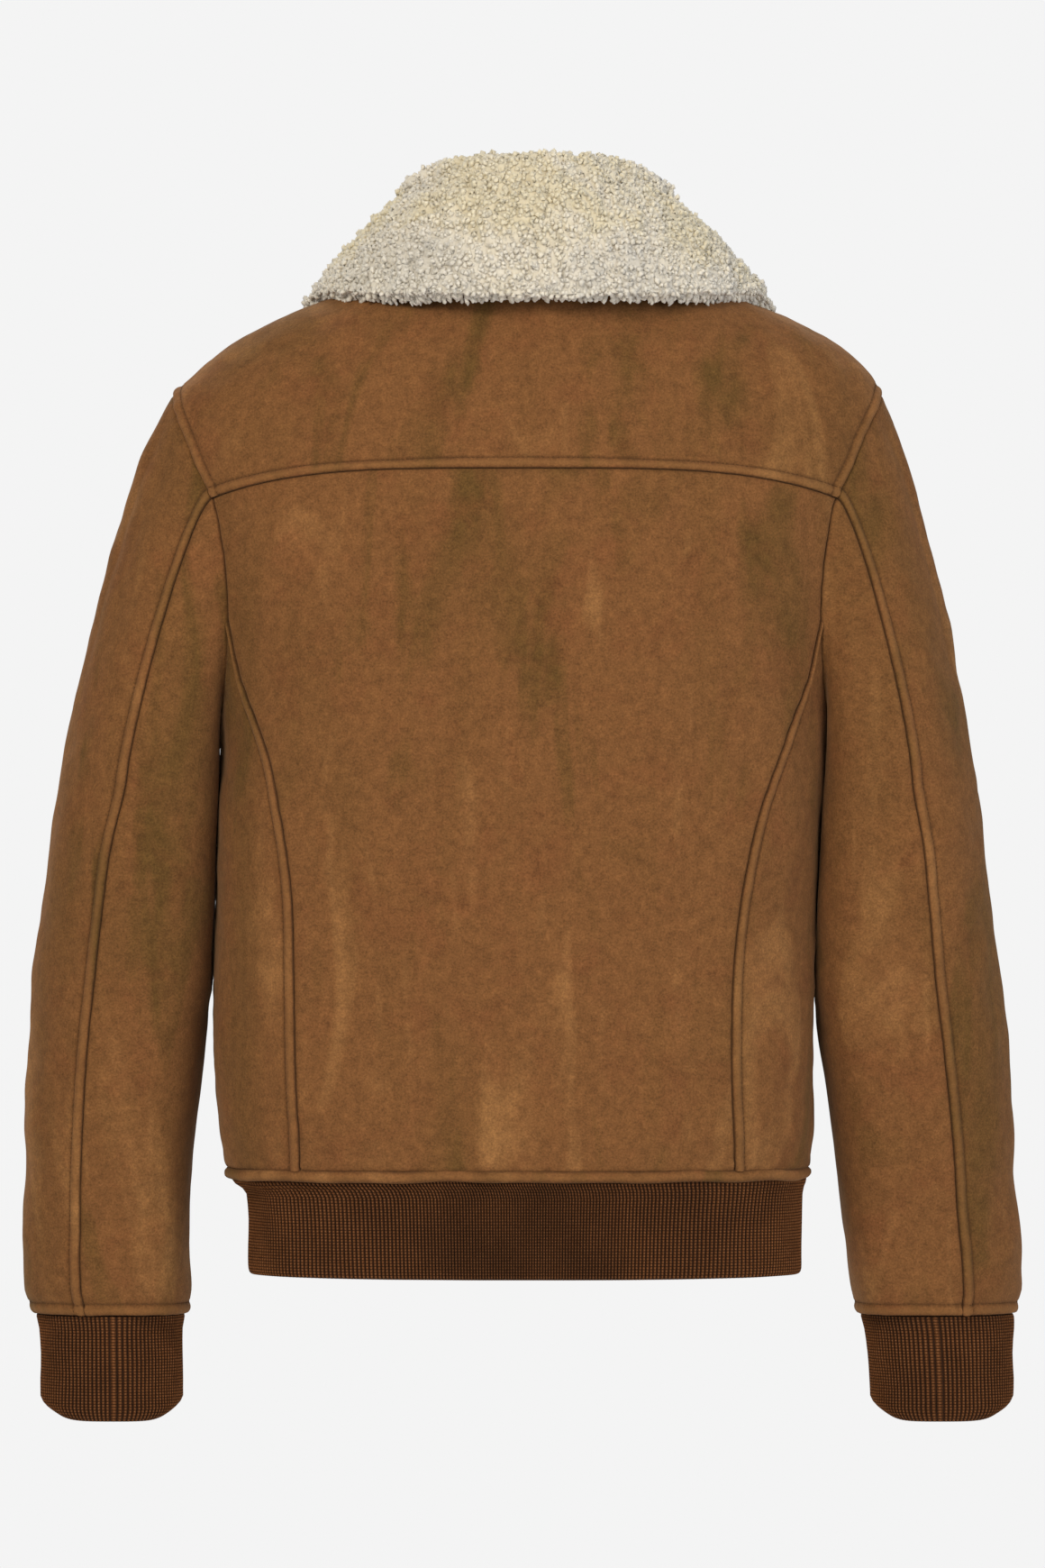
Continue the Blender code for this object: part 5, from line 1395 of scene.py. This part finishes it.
def locks(roots, ways, ups, length, width, rng, sections=7, sides=5):
    """Hanging fingers of wool: wavy tubes from each root along its way, thinner at the tip."""
    count = len(roots)
    share = np.linspace(0.0, 1.0, sections)
    long = length * rng.uniform(0.55, 1.25, count)[:, None]
    side = unit(np.cross(ways, ups))
    sway = rng.uniform(0, 2 * math.pi, count)[:, None] + share * rng.uniform(3, 7, count)[:, None]
    swing = 0.10 * long * share * np.sin(sway)
    lift = 0.10 * long * share * np.cos(sway * 1.3)
    middle = (
        roots[:, None] + (long * share)[..., None] * ways[:, None]
        + swing[..., None] * side[:, None] + lift[..., None] * ups[:, None]
    )
    body = np.interp(share, (0.0, 0.25, 0.6, 0.85, 1.0), (0.6, 1.0, 0.95, 0.7, 0.25))
    beads = 1 + 0.22 * np.sin(share * rng.uniform(8, 14, count)[:, None])
    thick = width * rng.uniform(0.35, 0.60, count)[:, None] * body * beads
    turn = np.linspace(0.0, 2 * math.pi, sides + 1)[:-1]
    ring = np.cos(turn)[:, None, None] * side + np.sin(turn)[:, None, None] * ups
    ring = np.moveaxis(ring, 0, 1)[:, None]
    points = middle[:, :, None] + thick[..., None, None] * ring
    # Mask of the painted shade: darker at the root, lighter towards the tip.
    depth = np.broadcast_to((0.55 + 0.45 * share)[None, :, None], points.shape[:3])
    tone = np.broadcast_to(rng.uniform(0.1, 1.0, count)[:, None, None], points.shape[:3])
    return points, depth, tone


def add_wool(name, batches):
    """One piece from batches of tubes, with each tip and root shut."""
    points, faces, depths, tones = [], [], [], []
    first = 0
    for tubes, depth, tone in batches:
        index = first + np.arange(tubes[..., 0].size).reshape(tubes.shape[:3])
        faces += tube_faces(index).tolist()
        faces += index[:, 0, ::-1].tolist() + index[:, -1].tolist()
        points.append(tubes.reshape(-1, 3))
        depths.append(depth.ravel())
        tones.append(tone.ravel())
        first += tubes[..., 0].size
    piece = add_piece(
        name, np.concatenate(points), faces, [wool_material()], smooth_angle=180,
        depth=np.concatenate(depths), tone=np.concatenate(tones),
    )
    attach(piece, "jacket")
    return piece


def build_collar():
    look = bpy.context.scene.blouson_wool
    rng = np.random.default_rng(41)
    middle, normal, half = collar_surface(300, 120)
    out_way = normal[90, 150] @ np.array([0.0, 1.0, 0.0])
    normal = normal * np.sign(out_way)
    clump = waves(middle, 0.016, 42) * 0.5 + waves(middle, 0.008, 43) * 0.5
    inside = np.clip(np.linspace(0.0, 1.0, 121) * 12, 0.0, 1.0)[:, None]
    height = half + inside * (look.clump * clump + 0.0006 - look.sink)
    outer = middle + height[..., None] * normal
    under = middle - half[..., None] * normal
    tone = 0.35 + 0.10 * clump
    base = add_wall(
        "collar_skin", outer, under, [wool_material(), suede_material()],
        # depth 0.8 gives the skin between the curls a little painted shade.
        outward=out_way > 0, depth=np.full(clump.shape, 0.8), tone=tone,
        rubbed=np.zeros(clump.shape), hide=np.full(clump.shape, 6.3),
    )
    face = middle + (half + (look.clump * clump - look.sink) * inside)[..., None] * normal
    spots, ups, downs = scattered(face, normal, look.spacing, rng)
    low_edge = face[-1]
    edge_down = unit(face[-1] - face[-4])
    edge_up = normal[-1]
    tufts = []
    for layer, (drop, length, width) in enumerate((
        (0.0080, 0.0090, 0.0046), (0.0055, 0.0080, 0.0052), (0.0030, 0.0062, 0.0048),
        (0.0010, 0.0052, 0.0042), (0.0000, 0.0050, 0.0040),
    )):
        run = np.concatenate([
            [0.0], np.cumsum(np.linalg.norm(np.diff(low_edge, axis=0), axis=-1))])
        at = np.arange(0.0, run[-1], 0.0040)
        at = at + rng.uniform(-0.0013, 0.0013, len(at))
        root, way, up = (
            np.stack([np.interp(at, run, grid[:, k]) for k in range(3)], axis=-1)
            for grid in (low_edge, edge_down, edge_up)
        )
        sink = 0.0012 + 0.0016 * layer
        root = root - drop * way - sink * up
        way = unit(way - 0.16 * layer * up + 0.26 * rng.normal(size=way.shape) * (1.0, 1.0, 0.4))
        tufts.append(locks(root, way, up, length, width, rng))
    sides = []
    for column_number, step in ((0, 3), (-1, -4)):
        line = face[8:, column_number]
        way = unit(line - face[8:, step])
        run = np.concatenate([[0.0], np.cumsum(np.linalg.norm(np.diff(line, axis=0), axis=-1))])
        for sink in (0.0015, 0.0035, 0.0060):
            at = np.arange(0.0, run[-1], 0.0034) + rng.uniform(0, 0.0034)
            root, out, up = (
                np.stack([np.interp(at, run, grid[:, k]) for k in range(3)], axis=-1)
                for grid in (line, way, normal[8:, column_number])
            )
            root = root - sink * up - 0.002 * out
            out = unit(out + 0.25 * rng.normal(size=out.shape))
            sides.append(locks(root, out, up, 0.0055, 0.0034, rng))
    turned = np.degrees(np.arctan2(spots[:, 0], spots[:, 1]))
    for name, low, high in (
        ("wool_curls_right", -181.0, -48.0), ("wool_curls_back", -48.0, 48.0),
        ("wool_curls_left", 48.0, 181.0),
    ):
        pick = (turned >= low) & (turned < high)
        add_wool(name, [
            curls(spots[pick], ups[pick], downs[pick], look.curl, rng)
        ])
    add_wool("wool_fringe", tufts + sides)
    declare_cloth(base, "collar")


def zip_face(z):
    """Distance forward of the plane that the tapes' outer faces lie in."""
    body = column(TORSO_RINGS, TORSO_COLUMNS, "front", z) - SKIN_WALL
    band = column(WAISTBAND_RINGS, TORSO_COLUMNS, "front", z) - KNIT_WALL
    low = np.clip((WELT_BOTTOM_Z + 0.006 - z) / 0.006, 0.0, 1.0)
    return np.minimum(body, body * (1 - low) + band * low) - 0.0010


def zip_centre(z):
    centre = column(TORSO_RINGS, TORSO_COLUMNS, "centre_x", z)
    band_centre = column(WAISTBAND_RINGS, TORSO_COLUMNS, "centre_x", z)
    return np.where(z < WELT_BOTTOM_Z, band_centre, centre)


def build_zip():
    look = bpy.context.scene.blouson_zip
    start = CHAIN_HALF_WIDTH + 0.0004
    z = np.linspace(ZIP_TOP_Z, WAISTBAND_BOTTOM_Z, 180)[:, None]
    for side, sign in (("left", 1.0), ("right", -1.0)):
        across = np.linspace(start, start + TAPE_WIDTH, 12)[None, :] * sign
        zz, x = np.broadcast_arrays(z, across)
        face, centre = zip_face(zz), zip_centre(zz)
        outer = np.stack([centre + x, -face, zz], axis=-1)
        inner = np.stack([centre + x, -(face - TAPE_THICKNESS), zz], axis=-1)
        piece = add_wall(
            "zip_tape_" + side + "_weave", outer, inner, [tape_material(), tape_material()],
            outward=sign < 0,
        )
        declare_cloth(
            piece, "zip_tape_" + side)
    at = np.arange(ZIP_TOP_Z - 0.002, WAISTBAND_BOTTOM_Z + 0.002, -look.tooth_pitch)
    half_w, half_h = CHAIN_HALF_WIDTH, 0.30 * look.tooth_pitch
    outline = np.array([
        (0.95, -1.0), (0.95, 1.0), (0.10, 1.0), (-0.18, 1.35), (-0.42, 0.9), (-0.42, -0.9),
        (-0.18, -1.35), (0.10, -1.0),
    ]) * (half_w, half_h)
    front, back = CHAIN_DEPTH - TAPE_THICKNESS, TAPE_THICKNESS
    points, faces = [], []
    for sign, offset in ((1.0, 0.0), (-1.0, 0.5 * look.tooth_pitch)):
        height = at - offset
        x = zip_centre(height)[:, None] + sign * outline[None, :, 0]
        up = height[:, None] + outline[None, :, 1]
        depth = zip_face(height)[:, None, None] + np.array([-back, 0.75 * front, front])[:, None]
        size = np.array([1.0, 1.0, 0.72])[:, None]
        middle_x = x.mean(axis=1)[:, None, None]
        middle_z = height[:, None, None]
        tooth = np.stack([
            middle_x + (x[:, None] - middle_x) * size,
            -np.broadcast_to(depth, (len(at), 3, len(outline))),
            middle_z + (up[:, None] - middle_z) * size,
        ], axis=-1)
        first = sum(len(p) for p in points)
        index = first + np.arange(tooth[..., 0].size).reshape(tooth.shape[:3])
        points.append(tooth.reshape(-1, 3))
        faces += tube_faces(index).tolist() + index[:, 0, ::-1].tolist() + index[:, -1].tolist()
    teeth = add_piece("zip_teeth", np.concatenate(points), faces, [brass_material()], None, 35)
    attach(teeth, "jacket")
    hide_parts("zip_chain")
    for name in ("zip_slider", "zip_pull"):
        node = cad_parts[name]
        for holder in node.material_slots:
            holder.material = brass_material()


def area_light(name, place, aim, size, power, colour):
    light = bpy.data.lights.new(name, "AREA")
    light.shape = "DISK"
    light.size, light.energy, light.color = size, power, linear(colour)[:3]
    made = bpy.data.objects.new(name, light)
    bpy.context.scene.collection.objects.link(made)
    made.location = place
    toward = np.array(aim) - np.array(place)
    flat = math.hypot(toward[0], toward[1])
    made.rotation_euler = (
        math.pi / 2 + math.atan2(toward[2], flat), 0.0, math.atan2(-toward[0], toward[1])
    )
    return made


def build_stage():
    look = bpy.context.scene.blouson_stage
    scene = bpy.context.scene
    scene.view_settings.view_transform = "Standard"
    world = bpy.data.worlds.new("Plain white")
    scene.world = world
    world.use_nodes = True
    tree = world.node_tree
    background = tree.nodes["Background"]
    background.inputs["Color"].default_value = linear("#FFFFFF")
    background.inputs["Strength"].default_value = look.ambient
    seen = add_node(tree, "Background", Color=tuple(look.backdrop), Strength=1.0)
    ray = add_node(tree, "LightPath").outputs["Is Camera Ray"]
    both = add_node(tree, "MixShader", i0=ray, i1=background.outputs[0], i2=seen.outputs[0])
    tree.links.new(both.outputs[0], tree.nodes["World Output"].inputs["Surface"])

    low, high = (np.array(corner) for corner in CAD_BOX)
    middle = (low + high) / 2
    area_light("Key", (1.5, 3.6, 1.9), middle, 1.8, look.key, "#FFF8EE")
    area_light("Fill", (-2.4, 3.0, 0.4), middle, 2.2, look.fill, "#F3F6FF")
    area_light("Rim", (0.4, -2.6, 1.8), middle, 1.8, look.rim, "#FFFFFF")

    turn = np.linspace(0.0, 2 * math.pi, 97)[:-1]
    floor_z = float(low[2]) - 0.45
    points = np.stack([4 * np.cos(turn), 4 * np.sin(turn), np.full_like(turn, floor_z)], axis=-1)
    ground, tree, shader = new_material("Matt white paper", {
        "Base Color": linear("#E6E6E6"), "Roughness": 0.95, "Specular IOR Level": 0.1,
    })
    fibre = noise(tree, add_node(tree, "TexCoord").outputs["Object"], 400.0)
    tree.links.new(bump(tree, fibre, 0.0002, 0.3), shader.inputs["Normal"])
    add_piece("floor", points, [list(range(96))], [ground])

    camera = bpy.data.cameras.new("Camera")
    camera.lens = look.lens
    camera.sensor_width = 36.0
    camera.clip_start, camera.clip_end = 0.1, 60.0
    holder = bpy.data.objects.new("Camera", camera)
    scene.collection.objects.link(holder)
    holder.location = (look.aim_x, look.distance, look.aim_z)
    holder.rotation_euler = (math.pi / 2, 0.0, math.pi)
    scene.camera = holder


def colour_setting(name, description, colour):
    return bpy.props.FloatVectorProperty(
        name=name, description=description, default=linear(colour), size=4, min=0.0, max=1.0,
        subtype="COLOR",
    )


def size_setting(name, description, metres, low=0.0001, high=10.0):
    return bpy.props.FloatProperty(
        name=name, description=description, default=metres, min=low, max=high, precision=5,
        subtype="DISTANCE", unit="LENGTH",
    )


class BlousonStageSettings(bpy.types.PropertyGroup):
    """Camera, lights and backdrop."""

    distance: size_setting("Camera distance", "From the back of the jacket", 8.0, 1.0, 30.0)
    aim_x: size_setting("Aim across", "Middle of the picture, across", 0.0012, -1.0, 1.0)
    aim_z: size_setting("Aim height", "Middle of the picture, up", -0.3306, -2.0, 2.0)
    lens: bpy.props.FloatProperty(
        name="Lens", description="Focal length for a sensor 36 mm high", default=285.4,
        unit="CAMERA",
    )
    key: bpy.props.FloatProperty(
        name="Key light", description="Power of the large soft light", default=105.0, unit="POWER",
    )
    fill: bpy.props.FloatProperty(
        name="Fill light", description="Power of the light opposite it", default=50.0,
        unit="POWER",
    )
    rim: bpy.props.FloatProperty(
        name="Rim light", description="Power of the light behind the jacket", default=40.0,
        unit="POWER",
    )
    ambient: bpy.props.FloatProperty(
        name="Ambient", description="Strength of the light from all round", default=0.42,
    )
    backdrop: colour_setting("Backdrop", "Colour behind the jacket", "#F4F4F4")


class BlousonSuedeSettings(bpy.types.PropertyGroup):
    """Suede panels."""

    brown: colour_setting("Brown", "Main colour of the suede", "#764E2B")
    olive: colour_setting("Olive", "Nap that lies dark and greenish", "#5E4320")
    red: colour_setting("Reddish", "Warmer patches", "#714025")
    # Light also colours the seams' ridges: rubbed wear and painted highlight.
    light: colour_setting("Light", "Nap that lies light, and rubbed ridges", "#8E6339")
    cell: size_setting("Grid cell", "Size of the mesh cells", 0.0036, 0.001, 0.02)
    wave: size_setting("Waves", "Height of the soft unevenness", 0.0007, 0.0, 0.005)
    grain: bpy.props.FloatProperty(
        name="Grain", description="Grains of the nap in a metre", default=760.0, min=100.0,
    )


class BlousonWoolSettings(bpy.types.PropertyGroup):
    """Curly wool of the collar."""

    cream: colour_setting("Cream", "Main colour of the wool", "#E7DECB")
    yellow: colour_setting("Yellow", "Yellower patches", "#E2D6B8")
    grey: colour_setting("Grey", "Greyer patches", "#DAD3C4")
    spacing: size_setting("Spacing", "Between neighbouring curls", 0.0033, 0.001, 0.02)
    curl: size_setting("Curl", "Size of a curl", 0.0047, 0.001, 0.02)
    clump: size_setting("Clumps", "Height of the clumps of curls", 0.0012, 0.0, 0.005)
    sink: size_setting("Sink", "Curls' roots below the collar's face", 0.0022, 0.0, 0.005)


class BlousonKnitSettings(bpy.types.PropertyGroup):
    """Ribbed waistband and cuffs."""

    brown: colour_setting("Brown", "Main colour of the yarn", "#633B1D")
    # Painted shade between the ribs and stitches, and painted highlight on the stitches' crowns.
    furrow_shade: colour_setting("Furrow", "Colour between the ribs", "#28170C")
    crown: colour_setting("Crown", "Colour on the stitches' crowns", "#8A5C3A")
    rib: size_setting("Rib", "Height of a rib", 0.0011, 0.0001, 0.01)
    stitch: size_setting("Stitch", "Length of a stitch", 0.0019, 0.0005, 0.01)
    waist_ribs: bpy.props.IntProperty(
        name="Waist ribs", description="Ribs round the waistband", default=384, min=40,
    )
    cuff_ribs: bpy.props.IntProperty(
        name="Cuff ribs", description="Ribs round a cuff", default=102, min=20,
    )


class BlousonZipSettings(bpy.types.PropertyGroup):
    """Zip at the front."""

    brass: colour_setting("Brass", "Handled brass", "#B08A4C")
    tarnish: colour_setting("Tarnish", "Brass gone brown", "#6E5228")
    tooth_pitch: size_setting("Tooth pitch", "From tooth to tooth on one side", 0.0026, 0.001, 0.01)


class BLOUSON_OT_stage(bpy.types.Operator):
    """Set up the camera, lights, backdrop and floor"""

    bl_idname = "blouson.stage"
    bl_label = "Stage"

    def execute(self, context):
        build_stage()
        return {"FINISHED"}


class BLOUSON_OT_body(bpy.types.Operator):
    """Build the yoke, backs, fronts and hem strip"""

    bl_idname = "blouson.body"
    bl_label = "Body"

    def execute(self, context):
        build_body()
        build_hem_strip()
        return {"FINISHED"}


class BLOUSON_OT_sleeves(bpy.types.Operator):
    """Build both sleeves"""

    bl_idname = "blouson.sleeves"
    bl_label = "Sleeves"

    def execute(self, context):
        build_sleeves()
        return {"FINISHED"}


class BLOUSON_OT_collar(bpy.types.Operator):
    """Build the wool collar"""

    bl_idname = "blouson.collar"
    bl_label = "Collar"

    def execute(self, context):
        build_collar()
        return {"FINISHED"}


class BLOUSON_OT_knits(bpy.types.Operator):
    """Build the waistband and both cuffs"""

    bl_idname = "blouson.knits"
    bl_label = "Knits"

    def execute(self, context):
        build_waistband()
        for side in ("left", "right"):
            build_cuff(side)
        return {"FINISHED"}


class BLOUSON_OT_zip(bpy.types.Operator):
    """Build the zip's tapes and teeth and finish its slider and pull"""

    bl_idname = "blouson.zip"
    bl_label = "Zip"

    def execute(self, context):
        build_zip()
        return {"FINISHED"}


OPERATORS = (
    BLOUSON_OT_stage, BLOUSON_OT_body, BLOUSON_OT_sleeves, BLOUSON_OT_collar, BLOUSON_OT_knits,
    BLOUSON_OT_zip,
)
SETTINGS = {
    "blouson_stage": BlousonStageSettings,
    "blouson_suede": BlousonSuedeSettings,
    "blouson_wool": BlousonWoolSettings,
    "blouson_knit": BlousonKnitSettings,
    "blouson_zip": BlousonZipSettings,
}


class BLOUSON_PT_panel(bpy.types.Panel):
    """The builders and their settings"""

    bl_label = "Blouson"
    bl_space_type = "VIEW_3D"
    bl_region_type = "UI"
    bl_category = "Blouson"

    def draw(self, context):
        for operator in OPERATORS:
            self.layout.operator(operator.bl_idname)
        for key, group in SETTINGS.items():
            box = self.layout.box()
            box.label(text=group.__doc__)
            for name in group.__annotations__:
                box.prop(getattr(context.scene, key), name)


def register():
    for group in (*SETTINGS.values(), *OPERATORS, BLOUSON_PT_panel):
        bpy.utils.register_class(group)
    for key, group in SETTINGS.items():
        setattr(bpy.types.Scene, key, bpy.props.PointerProperty(type=group))


def unregister():
    for key in SETTINGS:
        delattr(bpy.types.Scene, key)
    for group in (BLOUSON_PT_panel, *reversed(OPERATORS), *reversed(SETTINGS.values())):
        bpy.utils.unregister_class(group)


def main():
    register()
    bpy.ops.blouson.stage()
    bpy.ops.blouson.body()
    bpy.ops.blouson.sleeves()
    bpy.ops.blouson.collar()
    bpy.ops.blouson.knits()
    bpy.ops.blouson.zip()


if __name__ == "__main__":
    main()
